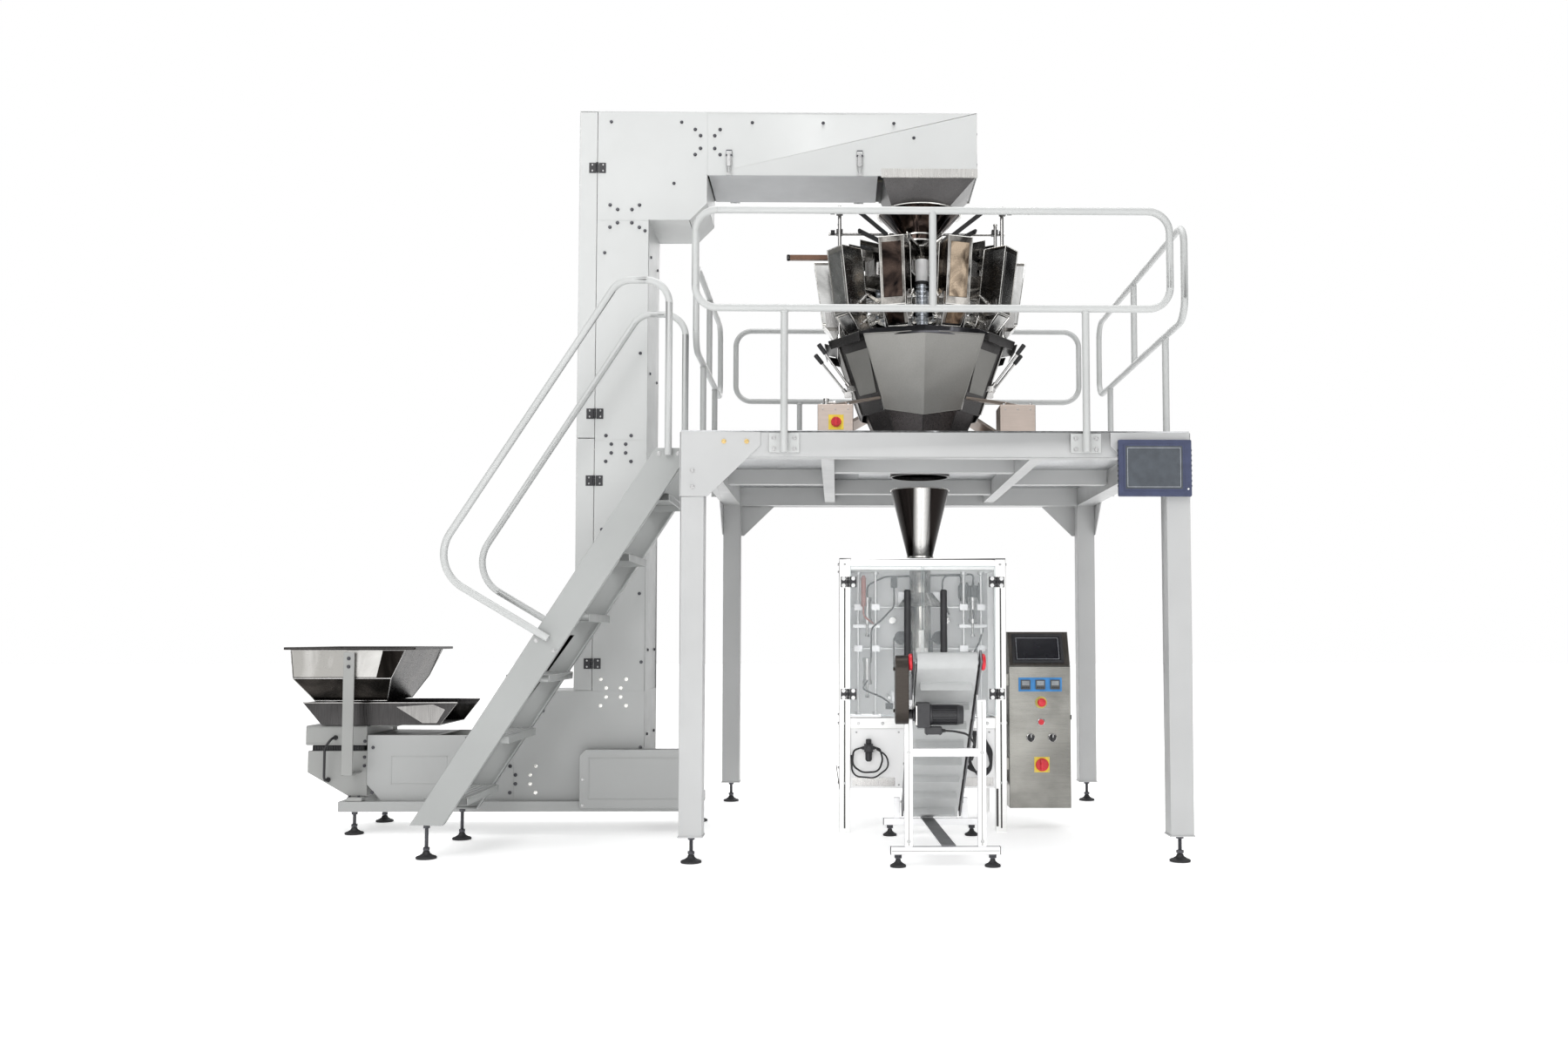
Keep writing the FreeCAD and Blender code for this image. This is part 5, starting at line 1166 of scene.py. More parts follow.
def is_clamp(low, high):
    return high.x - low.x < 40 and 30 < high.y - low.y < 45 and low.z > 3100


def is_rod_or_collar(low, high):
    thin = min(high.x - low.x, high.y - low.y) < 20 and not (high.x < -424 and low.z > 2900 and high.z < 2960)
    return thin or 150 < high.x - low.x < 240


# ------------------------------------------------------------------ form fill sealer
BAG_FRONT = -200
DOOR_FACE = -211
HINGE_HEIGHTS = (1238, 681)


def bagger_frame():
    remade("bagger_frame", 3.5, POST_STEEL, lambda low, high: not near_hinge(low, high))
    remade("bagger_frame", 3, BLACK_PLASTIC, near_hinge, "bagger_hinge_leaves", "black_plastic")
    remade("bagger_panels", 1, LIT_PANEL_WHITE)
    remade("filling_funnel", 0.6, FUNNEL_REFLECTION)
    remade("forming_tube", 0.8, MIRROR_STEEL)
    remade("vertical_sealer", 2, STAINLESS)
    trim = Build()
    trim.lathe((0, 0, 1720), Z_AXIS, [(-4, 149), (-3, 153), (1, 153), (3, 149)], 56)
    trim.lathe((0, 0, 1368), Z_AXIS, [(0, 65), (1, 70), (9, 70), (12, 65)], 40)
    trim.rod((0, -64, 1376), (0, -151, 1716), 2, sides=8)
    trim.show("funnel_rims", EDGE_STEEL, slot="mirror_stainless")

    bolts = Build()
    for x in (-320, -200, 200, 320):
        bolts.hex_bolt((x, BAG_FRONT, 536), (0, -1, 0), 12, 6)
    for side in (-1, 1):
        for z in (242, 536, 1326):
            for y in (-172, 572):
                bolts.hex_bolt((side * 416, y, z), (side, 0, 0), 12, 6)
        for z in (242, 536, 1326):
            bolts.dome_screw((side * 388, BAG_FRONT, z), (0, -1, 0), 6)
    for x in (-330, -120, 120, 330):
        for z in (232, 492):
            bolts.dome_screw((x, BAG_FRONT + 8, z), (0, -1, 0), 5)
    bolts.show("bagger_bolts", ZINC, edge=0.4, slot="zinc")
    slots = Build()
    for side in (-1, 1):
        x = side * 388.5
        slots.box((x - 4, x + 4), (BAG_FRONT - 0.6, BAG_FRONT), (20, 650))
        slots.box((x - 4, x + 4), (BAG_FRONT - 0.6, BAG_FRONT), (712, 1208))
        y = -172
        slots.box(sorted((side * 416, side * 416.6)), (y - 4, y + 4), (20, 1330))
    slots.show("post_grooves", DARK_STEEL, slot="dark_stainless")
    caps = Build()
    for x in (-388.5, 388.5):
        for y in (-172.5, 572.5):
            caps.box((x - 27, x + 27), (y - 27, y + 27), (1353, 1357))
    caps.show("post_caps", BLACK_PLASTIC, edge=2, slot="black_plastic")


def near_hinge(low, high):
    return low.y < -200.5 and high.y < -195 and high.z - low.z < 60


def inside_bagger():
    """Guide rods, cylinders, valves and hoses in the chamber behind the clear doors."""
    rods = Build()
    for x in (-318, -228, 228, 318):
        rods.rod((x, 40, 566), (x, 40, 1300), 8, sides=16)
        rods.lathe((x, 40, 566), Z_AXIS, [(0, 17), (14, 17), (16, 12)], 20)
        rods.lathe((x, 40, 1284), Z_AXIS, [(0, 12), (2, 17), (16, 17)], 20)
    for z in (905, 1118):
        rods.rod((-352, 78, z), (352, 78, z), 8, sides=16)
    rods.show("guide_rods", WHITE_METAL, slot="aluminium")
    blocks = Build()
    for x in (-318, -228, 228, 318):
        for z in (888, 1101):
            blocks.box((x - 22, x + 22), (18, 96), (z, z + 34))
    blocks.box((-346, -204), (30, 112), (1010, 1030))
    blocks.box((204, 346), (30, 112), (1010, 1030))
    blocks.box((-110, -70), (84, 119), (1140, 1200))
    blocks.box((70, 110), (84, 119), (1140, 1200))
    blocks.show("slide_blocks", ALUMINIUM, edge=3, slot="aluminium")
    cylinders = Build()
    for x, low in ((-272, 1032), (272, 1032), (-272, 720), (272, 760)):
        cylinders.lathe((x, 10, low), Z_AXIS, [(0, 20), (2, 25), (24, 25), (26, 20), (112, 20), (114, 25), (136, 25),
                                               (138, 20)], 24)
        cylinders.rod((x, 10, low - 60), (x, 10, low), 6, sides=14)
        cylinders.lathe((x, 10, low - 66), Z_AXIS, [(0, 12), (12, 12)], 6)
    for side in (-1, 1):
        cylinders.lathe((side * 140, 60, 1050), Y_AXIS, [(0, 16), (2, 20), (18, 20), (20, 16), (56, 16)], 20)
    cylinders.show("air_cylinders", STAINLESS_BRIGHT, slot="stainless")
    valves = Build()
    for number in range(4):
        x = 206 + 32 * number
        valves.box((x, x + 27), (70, 119), (1166, 1232))
        for z in (1160, 1238):
            way = -1 if z < 1200 else 1
            valves.lathe((x + 13, 92, z - 6 * way), (0, 0, way), [(0, 8), (6, 8), (7, 6), (16, 6)], 12)
    valves.box((-150, -118), (-30, 24), (1216, 1268))
    valves.box((-180, -142), (-60, -20), (598, 628))
    valves.box((142, 180), (-60, -20), (598, 628))
    valves.show("valve_block", BLACK_PLASTIC, edge=2, slot="black_plastic")
    hoses = Build()
    routes = [[(219, 92, 1250), (219, 92, 1284), (120, 60, 1284), (120, 60, 1180), (150, 20, 1080)],
              [(251, 92, 1150), (251, 60, 1120), (272, -10, 1110), (272, -18, 1060)],
              [(283, 92, 1250), (283, 70, 1290), (-180, 70, 1276), (-272, 20, 1230), (-272, 14, 1170)],
              [(315, 92, 1150), (330, 60, 1000), (300, -10, 930), (272, -14, 880)],
              [(-272, -14, 740), (-300, -40, 700), (-200, -60, 660), (-160, -40, 630)],
              [(-134, -10, 1216), (-134, -20, 1120), (-200, -10, 1050), (-250, 0, 1010), (-252, 8, 850)],
              [(160, -40, 630), (190, -60, 690), (240, -40, 740), (272, -12, 770)]]
    for route in routes:
        hoses.pipe(route, 4.5, 45, 10, 6)
    hoses.show("air_hoses", RUBBER, slot="black_rubber")
    red = Build()
    red.rod((-292, -40, 1120), (-292, -40, 1258), 13, sides=20)
    red.lathe((-292, -40, 1258), Z_AXIS, [(0, 15), (8, 15), (10, 9), (20, 9)], 16)
    red.pipe([(-292, -40, 1120), (-292, -40, 1070), (-250, -20, 1040), (-240, 20, 1034)], 5, 40, 10, 6)
    red.show("reddish_tube", RED_BROWN, slot="red_plastic")


def doors():
    """Clear panes with polished edges, tall black pull handles and four-lobed black hinges."""
    for name, side, grip in (("left", -1, -79), ("right", 1, 100)):
        body = name + "_door"
        remade(name + "_door", 1, ACRYLIC)
        edge = Build()
        x_near, x_far = sorted((side * 3, side * 362))
        for x in (x_near + 1, x_far - 1):
            edge.box((x - 1.2, x + 1.2), (DOOR_FACE - 0.4, -204.6), (575, 1318))
        for z in (576, 1317):
            edge.box((x_near, x_far), (DOOR_FACE - 0.4, -204.6), (z - 1.2, z + 1.2))
        edge.show(body + "_edges", ACRYLIC_EDGE, body, slot="clear_panel")
        handle = Build()
        handle.lathe((grip, -259, 856), Z_AXIS, [(0, 12), (4, 16), (8, 17), (334, 17), (338, 16), (342, 12)], 28)
        for z in (880, 1174):
            handle.lathe((grip, DOOR_FACE, z), (0, -1, 0), [(0, 13), (4, 13), (6, 9), (44, 9)], 20)
            handle.lathe((grip, -205, z), (0, 1, 0), [(0, 11), (4, 11), (6, 8)], 6)
        handle.show(body + "_handle", BLACK_PLASTIC, body, stands_for=(name + "_door_fittings",), slot="black_plastic")
        leaves, lobes = Build(), Build()
        for z in HINGE_HEIGHTS:
            leaves.box(sorted((side * 330, side * 364)), (DOOR_FACE - 6, DOOR_FACE), (z - 26, z + 26))
            leaves.rod((side * 372, -208, z - 10), (side * 372, -208, z + 10), 7.5, sides=18)
            for up in (-17, 17):
                lobes.lathe((side * 346, DOOR_FACE - 6, z + up), (0, -1, 0), [(0, 10), (3, 10), (4, 8)], 20)
        leaves.show(body + "_hinge_leaves", BLACK_PLASTIC, body, 3, slot="black_plastic")
        lobes.show(body + "_hinge_lobes", WHITE_PLASTIC, body, slot="bucket_plastic")
    fixed = Build()
    for side in (-1, 1):
        for z in HINGE_HEIGHTS:
            for up in (-17, 17):
                fixed.lathe((side * 394, -205, z + up), (0, -1, 0), [(0, 10), (3, 10), (4, 8)], 20)
    fixed.show("fixed_hinge_lobes", WHITE_PLASTIC, slot="bucket_plastic")


def pulls_and_jaws():
    remade("film_pull_belts", 3, RUBBER, lambda low, high: high.y < 26, "pull_belts")
    remade("film_pull_belts", 3, ALUMINIUM, lambda low, high: high.y >= 26, "belt_brackets", "aluminium")
    ribs = Build()
    for side in (-1, 1):
        for number in range(14):
            z = 794 + 12 * number
            for x in (58, 138):
                ribs.box(sorted((side * (x - 1), side * (x + 1))), (-24, 24), (z, z + 5))
    ribs.show("belt_ribs", RUBBER, slot="black_rubber")
    for name, side in (("left_pull_belt_pulley", -1), ("right_pull_belt_pulley", 1)):
        wheel = Build()
        x = 98 * side
        wheel.lathe((x, -27, 790), Y_AXIS, [(0, 30), (2, 34.5), (5, 34.5), (6, 32.5), (48, 32.5), (49, 34.5), (52, 34)], 40)
        wheel.rod((x, 25, 790), (x, 59.5, 790), 10)
        wheel.lathe((x, -27, 790), (0, -1, 0), [(0, 12), (4, 12), (5, 9)], 6)
        for spoke in range(5):
            angle = 2 * math.pi * spoke / 5
            wheel.rod((x + 21 * math.cos(angle), -27, 790 + 21 * math.sin(angle)),
                      (x + 21 * math.cos(angle), -28.2, 790 + 21 * math.sin(angle)), 4, sides=12)
        wheel.show(name + "_wheel", ALUMINIUM, name, stands_for=(name,), slot="aluminium")
    for name, side in (("front_jaw", -1), ("rear_jaw", 1)):
        jaw = Build()
        jaw.box((-150, 150), sorted((side * 70, side * 100)), (635, 685))
        jaw.box((-140, 140), sorted((side * 45, side * 70)), (648, 672))
        for number in range(6):
            z = 650 + 4 * number
            jaw.box((-138, 138), sorted((side * 42, side * 45)), (z, z + 2))
        for x in (-120, 0, 120):
            jaw.hex_bolt((x, side * 100, 660), (0, side, 0), 12, 6)
        jaw.show(name + "_made", ALUMINIUM, name, 1.5, (name,), slot_of(name))
    film = remade("film_roll", 2, FILM_ROLL)
    rolls = Build()
    for turn in range(4):
        radius = 60 + 18 * turn
        for side in (-1, 1):
            rolls.lathe((side * 190, 370, 300), (side, 0, 0), [(0, radius), (0.7, radius), (0.7, radius - 2),
                                                               (0, radius - 2)], 48)
    rolls.show("film_roll_windings", FILM_EDGE, "film_roll", slot="film")
    remade("film_web", 0.3, FILM)


def bagger_fittings():
    """The air regulator with its looping hoses on the lower front, and the hoses beside the conveyor."""
    valve = Build()
    valve.box((-292, -248), (-232, -192), (396, 436))
    valve.lathe((-270, -212, 436), Z_AXIS, [(0, 12), (4, 14), (20, 14), (24, 11)], 20)
    valve.lathe((-270, -212, 396), (0, 0, -1), [(0, 15), (4, 17), (38, 16), (46, 10)], 22)
    for side in (-1, 1):
        valve.lathe((-270 + side * 22, -212, 416), (side, 0, 0), [(0, 9), (8, 9), (10, 6), (18, 6)], 12)
    valve.lathe((-270, -232, 416), (0, -1, 0), [(0, 14), (3, 15), (12, 15), (13, 12)], 24)
    valve.show("air_regulator", BLACK_PLASTIC, edge=2, slot="black_plastic")
    hoses = Build()
    hoses.pipe([(-310, -212, 416), (-345, -214, 405), (-352, -216, 330), (-300, -222, 296), (-220, -222, 300),
                (-200, -218, 360), (-214, -212, 410), (-230, -212, 416)], 4.5, 60, 10, 8)
    hoses.pipe([(-232, -212, 410), (-180, -216, 380), (-170, -216, 320), (-240, -216, 268), (-330, -214, 276),
                (-352, -205, 300), (-356, -196, 380)], 4, 60, 10, 8)
    for loop in range(4):
        shift = 9 * loop
        hoses.pipe([(246 + shift / 2, -214 - shift / 2, 500), (252, -226 - shift, 440 - shift), (228 - shift, -232, 350 - shift),
                    (276, -236 - shift, 268 + shift), (334, -228, 300 + shift), (340 - shift / 2, -222, 400 - shift),
                    (300, -214, 470 - shift), (290 + shift / 2, -206, 500)], 5, 60, 10, 8)
    hoses.show("front_hoses", RUBBER, slot="black_rubber")
    brace = Build()
    brace.box((362, 372), (-214, -200), (30, 214))
    brace.strut((-400, -190, 120), (-430, -196, 330), 14, 4, Y_AXIS)
    brace.show("post_brace", DARK_STEEL, edge=1, slot="dark_stainless")
    plate = Build()
    plate.box((-350, -140), (-194.5, -192), (226, 268))
    plate.box((140, 350), (-194.5, -192), (226, 268))
    plate.show("lower_panel_strips", STAINLESS_BRIGHT, edge=0.8, slot="stainless")


# ------------------------------------------------------------------ control cabinet and screens
CABINET_FRONT = -150
SLOPE_FOOT, SLOPE_HEAD = Vector((-150, 818)), Vector((-70, 990))


def slope(up, out):
    """A place (y, z) on the cabinet's slanted face: up the slope, and out from it."""
    along = (SLOPE_HEAD - SLOPE_FOOT).normalized()
    normal = Vector((-along.y, along.x))
    place = SLOPE_FOOT + along * up + normal * out
    return place.x, place.y


def slab(build, x, up, out):
    """A flat slab on the slanted face."""
    build.prism([slope(up[0], out[0]), slope(up[1], out[0]), slope(up[1], out[1]), slope(up[0], out[1])], x, "yz")


def cabinet():
    remade("control_cabinet", 1.6, CABINET_STEEL)
    trim = Build()
    for z in ((118, 121), (806, 809)):
        trim.box((446, 734), (CABINET_FRONT - 1, CABINET_FRONT), z)
    for x in ((446, 449), (731, 734)):
        trim.box(x, (CABINET_FRONT - 1, CABINET_FRONT), (118, 809))
    for z in (200, 460, 720):
        trim.box((743.5, 746), (20, 130), (z, z + 3))
    for row_number in range(6):
        z = 300 + 22 * row_number
        trim.hull([(744, 40, z), (744, 120, z), (744, 120, z + 10), (744, 40, z + 10)],
                  [(748, 42, z + 1), (748, 118, z + 1), (744.6, 118, z + 9), (744.6, 42, z + 9)])
    trim.show("cabinet_folds", CABINET_STEEL, edge=0.6, slot="stainless")
    lock = Build()
    lock.lathe((744, -110, 560), X_AXIS, [(0, 14), (3, 15), (6, 14), (7, 9), (10, 9)], 24)
    lock.box((751, 756), (-113, -107), (548, 572))
    lock.show("cabinet_lock", BLACK_PLASTIC, edge=1, slot="black_plastic")

    hood = Build()
    slab(hood, (440, 740), (3, 186), (0, 2.5))
    hood.show("slanted_plate", HOOD_DARK, edge=1.2, stands_for=("operator_panel",), slot="screen")
    frame_part = Build()
    slab(frame_part, (456, 714), (16, 30), (2.5, 9))
    slab(frame_part, (456, 714), (160, 174), (2.5, 9))
    slab(frame_part, (456, 470), (30, 160), (2.5, 9))
    slab(frame_part, (700, 714), (30, 160), (2.5, 9))
    frame_part.show("cabinet_screen_bezel", BLACK_PLASTIC, edge=1.8, stands_for=("operator_panel",),
                    slot="black_plastic")
    glass = Build()
    slab(glass, (470, 700), (30, 160), (2.5, 5.5))
    glass.show("cabinet_screen", SCREEN_DARK, edge=0.6, stands_for=("operator_panel",), slot="screen")
    outline = Build()
    for up in ((36, 37.4), (152.6, 154)):
        slab(outline, (478, 692), up, (5.5, 5.9))
    for x in ((478, 479.4), (690.6, 692)):
        slab(outline, x, (36, 154), (5.5, 5.9))
    outline.show("cabinet_screen_outline", LINE_GREY, slot="screen")

    plate = Build()
    plate.box((483, 701), (CABINET_FRONT - 3, CABINET_FRONT), (691, 761))
    plate.show("controller_plate", BLUE, edge=1.2, stands_for=("operator_panel",), slot="screen")
    cases, windows, keys = Build(), Build(), Build()
    for x in (494, 568, 642):
        cases.box((x, x + 48), (CABINET_FRONT - 12, CABINET_FRONT - 3), (702, 750))
        windows.box((x + 6, x + 42), (CABINET_FRONT - 12.8, CABINET_FRONT - 12), (722, 744))
        for number in range(4):
            keys.box((x + 6 + 9.6 * number, x + 13 + 9.6 * number), (CABINET_FRONT - 13.4, CABINET_FRONT - 12),
                     (707, 714))
    cases.show("controller_cases", CONTROLLER_GREY, edge=2, stands_for=("operator_panel",), slot="screen")
    windows.show("controller_windows", WINDOW_GREY, edge=0.4, slot="screen")
    keys.show("controller_keys", BLACK_PLASTIC, edge=0.4, slot="black_plastic")
    controls()


def controls():
    front = CABINET_FRONT
    rings = Build()
    rings.lathe((596, front, 637), (0, -1, 0), [(0, 30), (2.4, 30), (3, 29)], 48)
    rings.show("stop_ring", DULL_YELLOW, stands_for=("operator_panel",), slot="screen")
    collar = Build()
    for x, z, radius in ((596, 637, 15), (542, 461, 22), (651, 461, 22)):
        collar.lathe((x, front - (3 if z == 637 else 0), z), (0, -1, 0),
                     [(0, radius), (3, radius), (5, radius - 2.5), (5, radius - 4)], 36)
    # The push button sinks into its collar, so this one is hollow.
    collar.lathe((595, front, 539), (0, -1, 0), [(0, 19), (3, 19), (5, 16.5), (5, 15), (0.6, 15), (0.6, 1)], 36)
    collar.show("button_collars", STAINLESS_BRIGHT, stands_for=("operator_panel",), slot="stainless")
    square = Build()
    square.box((560, 636), (front - 3, front), (289, 365))
    square.show("switch_plate", YELLOW, edge=1.4, stands_for=("operator_panel",), slot="screen")
    screws = Build()
    for x in (566, 630):
        for z in (295, 359):
            screws.dome_screw((x, front - 3, z), (0, -1, 0), 2.6)
    screws.show("switch_plate_screws", ZINC, slot="zinc")

    stop = Build()
    stop.lathe((596, front - 8, 637), (0, -1, 0), [(0, 11), (6, 11), (8, 19), (12, 21), (19, 21), (22.5, 18),
                                                   (24, 12), (24, 1)], 48)
    stop.show("stop_mushroom", RED, "emergency_stop", stands_for=("emergency_stop",), slot="red_plastic")
    button = Build()
    button.lathe((595, front - 5.5, 539), (0, -1, 0), [(0, 14.5), (5, 14.5), (6.5, 13), (6.5, 1)], 36)
    button.show("red_button", RED, "push_button", stands_for=("push_button",), slot="red_plastic")
    for name, x in (("left_selector", 542), ("right_selector", 651)):
        base = Build()
        base.lathe((x, front - 4, 461), (0, -1, 0), [(0, 17), (2, 18), (11, 18), (12, 16.5)], 36)
        base.hull([(x + a, front - 15, z) for a, z in ((-6, 441), (6, 441), (6, 481), (-6, 481))],
                  [(x + a, front - 26, z) for a, z in ((-4.5, 442), (4.5, 442), (4.5, 480), (-4.5, 480))])
        base.show(name + "_knob", BLACK_PLASTIC, name, 0.9, (name,), "black_plastic")
        mark = Build()
        mark.box((x - 1.5, x + 1.5), (front - 26.6, front - 26), (463, 479))
        mark.show(name + "_mark", WHITE_PLASTIC, name, slot="bucket_plastic")
    knob("main_switch", (598, front - 3.6, 327), 32, 30)


def weigher_screen():
    case = Build()
    case.box((784, 1101), (-1140, -1114), (1568, 1814))
    case.show("screen_case", BEZEL_BLUE, edge=7, stands_for=("weigher_screen",), slot="screen")
    rim = Build()
    for x, z in (((806, 1068), (1786, 1794)), ((806, 1068), (1592, 1600)), ((806, 814), (1600, 1786)),
                 ((1060, 1068), (1600, 1786))):
        rim.box(x, (-1142.4, -1140), z)
    rim.show("screen_rim", BEZEL_BLUE, edge=0.9, slot="screen")
    glass = Build()
    glass.box((814, 1060), (-1141, -1139.8), (1600, 1786))
    glass.show("screen_glass", SCREEN, slot="screen")
    lines = Build()
    for x, z in (((822, 1052), (1777, 1778.6)), ((822, 1052), (1608, 1609.6)), ((822, 823.6), (1608, 1778)),
                 ((1050.4, 1052), (1608, 1778))):
        lines.box(x, (-1141.5, -1141), z)
    lines.show("screen_lines", LINE_GREY, slot="screen")
    lamp = Build()
    lamp.lathe((1084, -1140, 1600), (0, -1, 0), [(0, 4), (1.4, 3.4), (1.8, 1)], 18)
    lamp.show("screen_lamp", WHITE_PLASTIC, slot="screen")
    bracket = Build()
    bracket.box((850, 1040), (-1114, -1106), (1600, 1780))
    for z in (1620, 1760):
        bracket.box((860, 1030), (-1108, -1101), (z - 8, z + 8))
    bracket.show("screen_bracket", FRAME_GREY, edge=1.5, stands_for=("weigher_screen",), slot="frame_paint")
    louvre = Build()
    for number in range(8):
        z = 1610 + 22 * number
        louvre.box((1100.5, 1102.5), (-1134, -1120), (z, z + 8))
        louvre.box((782.5, 784.5), (-1134, -1120), (z, z + 8))
    louvre.show("screen_vents", BLACK_PLASTIC, edge=0.5, slot="black_plastic")


# ------------------------------------------------------------------ take-away conveyor
TAIL, HEAD = Vector((30, -330, 135)), Vector((30, -1270, 860))
ALONG = (HEAD - TAIL).normalized()
LENGTH = (HEAD - TAIL).length
LIFT = Vector((0, ALONG.z, -ALONG.y)) * -1
if LIFT.z < 0:
    LIFT = LIFT * -1
BELT_HALF = 125
REACH = 39.5


def on_belt(travel, lift, aside=0.0):
    return TAIL + ALONG * travel + LIFT * lift + X_AXIS * aside


def belt_band():
    """The belt's loop round both pulleys, with its flights and its stitched edge strips."""
    band = Build()
    loop = [(travel, REACH) for travel in (0, LENGTH)]
    loop += [(LENGTH + REACH * math.sin(math.pi * step / 10), REACH * math.cos(math.pi * step / 10))
             for step in range(1, 10)]
    loop += [(travel, -REACH) for travel in (LENGTH, 0)]
    loop += [(-REACH * math.sin(math.pi * step / 10), -REACH * math.cos(math.pi * step / 10))
             for step in range(1, 10)]
    rings = []
    for travel, lift in loop:
        middle_travel = min(max(travel, 0), LENGTH)
        out = Vector((0, 0, 0)) + ALONG * (travel - middle_travel) + LIFT * lift
        out = out.normalized()
        place = on_belt(travel, lift)
        rings.append([place + out * high + X_AXIS * aside for high, aside in
                      ((-1, -BELT_HALF), (-1, BELT_HALF), (1, BELT_HALF), (1, -BELT_HALF))])
    band.faces(rings, closed=False)
    for way in (-1, 1):
        for number in range(8):
            travel = 70 + 146 * number
            if travel < LENGTH - 40:
                foot, top = on_belt(travel, way * REACH), on_belt(travel + 4 * way, way * (REACH + 34))
                band.strut(foot, top, 2 * BELT_HALF - 34, 4, X_AXIS)
                band.strut(on_belt(travel - 8, way * (REACH + 2)), on_belt(travel + 8, way * (REACH + 2)),
                           2 * BELT_HALF - 34, 3, X_AXIS)
    band.show("flighted_belt", BELT_GREY, edge=0.7, stands_for=("conveyor_belt",), slot="belt")
    walls = Build()
    for side in (-1, 1):
        waves = []
        count = 92
        for number in range(count + 1):
            travel = 6 + (LENGTH - 12) * number / count
            waves.append(on_belt(travel, REACH + 1, side * (114 + (2.6 if number % 2 else -2.6))))
        for first, second in zip(waves, waves[1:]):
            walls.hull([first, second, second + X_AXIS * 1.4, first + X_AXIS * 1.4],
                       [first + LIFT * 20, second + LIFT * 20, second + LIFT * 20 + X_AXIS * 1.4,
                        first + LIFT * 20 + X_AXIS * 1.4])
    walls.show("belt_side_walls", BELT_GREY, slot="belt")


def conveyor():
    belt_band()
    remade("conveyor_frame", 2, ALUMINIUM, lambda low, high: not is_rail(low, high) and not is_strip(low, high))
    remade("conveyor_frame", 1.5, RAIL_DARK, is_strip, "conveyor_strip", "dark_stainless")
    remade("conveyor_frame", 3, RAIL_DARK, is_rail, "conveyor_rails")
    for name in ("conveyor_tail_pulley", "conveyor_head_pulley"):
        remade(name, 2, STEEL)
    grooves = Build()
    for side in (-1, 1):
        x = 30 + side * 154.5
        grooves.box((x - 2, x + 2), (-1182.7, -1182), (90, 694))
        grooves.box(sorted((30 + side * 172, 30 + side * 172.7)), (-1169, -1161), (90, 694))
    grooves.box((-196, 256), (-1182.7, -1182), (67, 70))
    grooves.show("profile_grooves", CHUTE_GREY, slot="dark_stainless")
    joints = Build()
    for side in (-1, 1):
        x = 30 + side * 154.5
        joints.box((x - 17, x + 17), (-1148, -1145), (66, 130))
        joints.hex_bolt((x, -1182, 108), (0, -1, 0), 12, 5)
        joints.hex_bolt((x, -1182, 478), (0, -1, 0), 12, 5)
        for travel in (60, 400, 760, LENGTH - 70):
            place = on_belt(travel, 0, side * 144)
            joints.hex_bolt(place, (side, 0, 0), 12, 6)
        joints.box(sorted((30 + side * 137, 30 + side * 133)), (-1184, -1146), (630, 720))
    joints.show("conveyor_bolts", ZINC, edge=0.6, slot="zinc")
    ends = Build()
    for x in (-200, 260):
        for y in (-1166, -302):
            ends.box((x - 2, x + 2), (y - 16, y + 16), (53, 85))
    ends.show("bar_end_caps", BLACK_PLASTIC, edge=1, slot="black_plastic")
    drive()


def is_strip(low, high):
    """The flat strip between the two feet bars."""
    return high.z < 95 and high.y - low.y > 600


def is_rail(low, high):
    """The two long sides and their head ends run up the slope beside the belt."""
    return high.x - low.x < 14 and (high.y - low.y > 200 or low.z > 780)


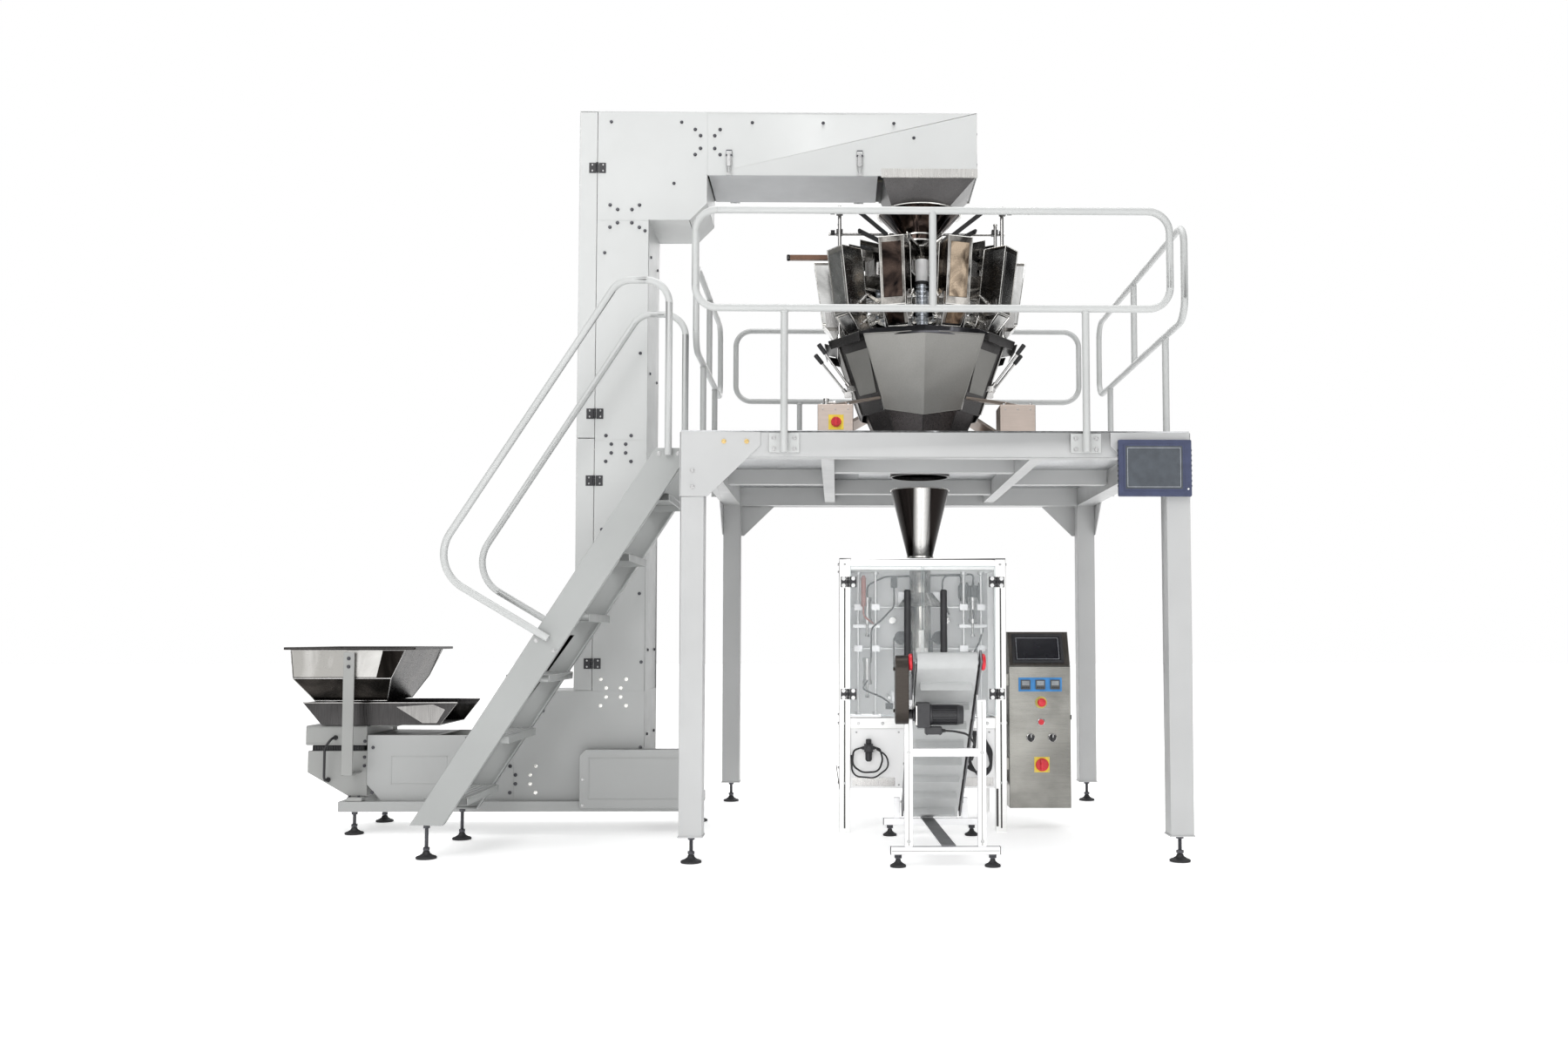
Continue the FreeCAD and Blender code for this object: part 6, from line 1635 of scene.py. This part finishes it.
def drive():
    caps = Build()
    for side in (-1, 1):
        caps.lathe(on_belt(LENGTH, 0, side * (BELT_HALF + 19.5)), (side, 0, 0),
                   [(0, 33), (2, 35), (10, 35), (15, 30), (15, 13), (12, 11), (12, 1)], 40)
    caps.show("bearing_caps", RED, stands_for=("conveyor_drive",), slot="red_plastic")
    guard = Build()
    middle_y, radius, centres = -1254, 56, (832, 658)
    ends = []
    for way, centre in zip((1, -1), centres):
        for step in range(13):
            angle = math.pi * step / 12
            ends.append((middle_y + way * radius * math.cos(angle), centre + way * radius * math.sin(angle)))
    guard.prism(ends, (-185, -129), "yz")
    for z in centres:
        guard.hex_bolt((-185, -1254, z), (-1, 0, 0), 13, 6)
    guard.show("chain_guard", GUARD_BRONZE, edge=6, stands_for=("conveyor_drive",), slot="black_plastic")

    motor = Build()
    y, z = -1235, 640
    motor.lathe((-40, y, z), X_AXIS, [(0, 44), (8, 45), (9, 38), (112, 38), (113, 42), (121, 42), (122, 41), (140, 38),
                                      (140, 1)], 40)
    for number in range(22):
        angle = 2 * math.pi * number / 22
        way = Vector((0, math.cos(angle), math.sin(angle)))
        middle = Vector((0, y, z)) + way * 39
        motor.strut(middle + X_AXIS * -30, middle + X_AXIS * 72, 2.6, 7, X_AXIS.cross(way))
    motor.show("conveyor_motor", BLACK_PLASTIC, edge=0.8, stands_for=("conveyor_drive",), slot="black_plastic")
    gearbox = Build()
    gearbox.box((-95, -40), (-1282, -1190), (588, 692))
    gearbox.lathe((-95, -1235, 640), (-1, 0, 0), [(0, 34), (6, 34), (8, 26), (16, 26), (18, 14), (44, 14)], 32)
    gearbox.box((-60, 10), (-1272, -1206), (560, 592))
    for x in (-52, 2):
        for gear_y in (-1264, -1214):
            gearbox.dome_screw((x, gear_y, 560), (0, 0, -1), 3.5)
    gearbox.show("conveyor_gearbox", BLACK_PLASTIC, edge=5, stands_for=("conveyor_drive",), slot="black_plastic")
    cable = Build()
    cable.lathe((10, -1240, 574), X_AXIS, [(0, 9), (6, 9), (7, 7), (16, 7)], 12)
    cable.pipe([(24, -1240, 574), (60, -1240, 572), (118, -1230, 560), (150, -1200, 520), (156, -1140, 470),
                (150, -1100, 440)], 4.5, 50, 10, 8)
    cable.show("motor_cable", RUBBER, slot="black_rubber")
    mount = Build()
    mount.box((-100, -94), (-1290, -1150), (600, 680))
    mount.box((-143, -100), (-1182, -1150), (618, 662))
    mount.show("motor_mount", STAINLESS, edge=2, slot="stainless")


# ------------------------------------------------------------------ camera, floor and light
SENSOR = 36.0
PICTURE_WIDTH = 1800
FOCAL_LENGTH = 1495


def camera():
    data = bpy.data.cameras.new("camera")
    data.sensor_width = SENSOR
    data.lens = SENSOR * FOCAL_LENGTH / PICTURE_WIDTH
    data.shift_x = -0.0465
    data.shift_y = 0.0278
    data.clip_end = 100
    obj = bpy.data.objects.new("camera", data)
    bpy.context.scene.collection.objects.link(obj)
    obj.location = row((-424, -6691, 965))
    obj.rotation_euler = (math.radians(90 + 3.11), 0, math.radians(-0.85))
    bpy.context.scene.camera = obj


def studio():
    """A pale floor under an even white sky that darkens to both sides, with four soft lamps."""
    mesh = bmesh.new()
    bmesh.ops.create_grid(mesh, x_segments=1, y_segments=1, size=40)
    data = bpy.data.meshes.new("floor")
    mesh.to_mesh(data)
    mesh.free()
    ground = bpy.data.objects.new("floor", data)
    bpy.context.scene.collection.objects.link(ground)
    ground.location = (0, 0, -0.0005)
    white = moulded("floor_white", (0.93, 0.93, 0.93), 0.8, 200, 0.02, 0.02)
    glow = white.node_tree.nodes["Principled BSDF"]
    glow.inputs["Emission Color"].default_value = (1, 1, 1, 1)
    glow.inputs["Emission Strength"].default_value = 0.45
    data.materials.append(white)

    world = bpy.data.worlds.new("studio")
    bpy.context.scene.world = world
    world.use_nodes = True
    tree = world.node_tree
    background = tree.nodes["Background"]
    direction = tree.nodes.new("ShaderNodeTexCoord").outputs["Generated"]
    parts = tree.nodes.new("ShaderNodeSeparateXYZ")
    tree.links.new(direction, parts.inputs["Vector"])
    sideways = tree.nodes.new("ShaderNodeMath")
    sideways.operation = "ABSOLUTE"
    tree.links.new(parts.outputs["X"], sideways.inputs[0])
    tree.links.new(ramp(tree, sideways.outputs["Value"], [(0.57, grey(1.0)), (0.68, grey(0.06))]),
                   background.inputs["Color"])
    background.inputs["Strength"].default_value = 1.0
    for name, place, energy, size in LAMPS:
        lamp = bpy.data.lights.new(name, "AREA")
        lamp.energy = energy
        lamp.size = size
        obj = bpy.data.objects.new(name, lamp)
        bpy.context.scene.collection.objects.link(obj)
        obj.location = row(place)
        aim = row((-600, 0, 1500)) - obj.location
        obj.rotation_euler = aim.to_track_quat("-Z", "Y").to_euler()
    bpy.context.scene.view_settings.view_transform = "Standard"


LAMPS = (("key", (-4200, -6200, 5200), 125, 3.5), ("fill", (4500, -6000, 3000), 35, 3.5),
         ("low", (-600, -5600, 400), 45, 2.5),
         ("top", (-400, 200, 7600), 210, 4.5), ("back", (1000, 6500, 5500), 70, 4.0))


def plain_nodes():
    """Nodes shown as the CAD made them, in their materials."""
    for material, names in PLAIN.items():
        for name in names:
            NODES[name].data.materials.clear()
            NODES[name].data.materials.append(material)


camera()
studio()
plain_nodes()
platform()
feet()
elevator()
infeed()
hoppers()
linkages()
vibrators()
weigher_frame()
chutes()
top_funnel()
bagger_frame()
inside_bagger()
doors()
pulls_and_jaws()
bagger_fittings()
cabinet()
weigher_screen()
conveyor()
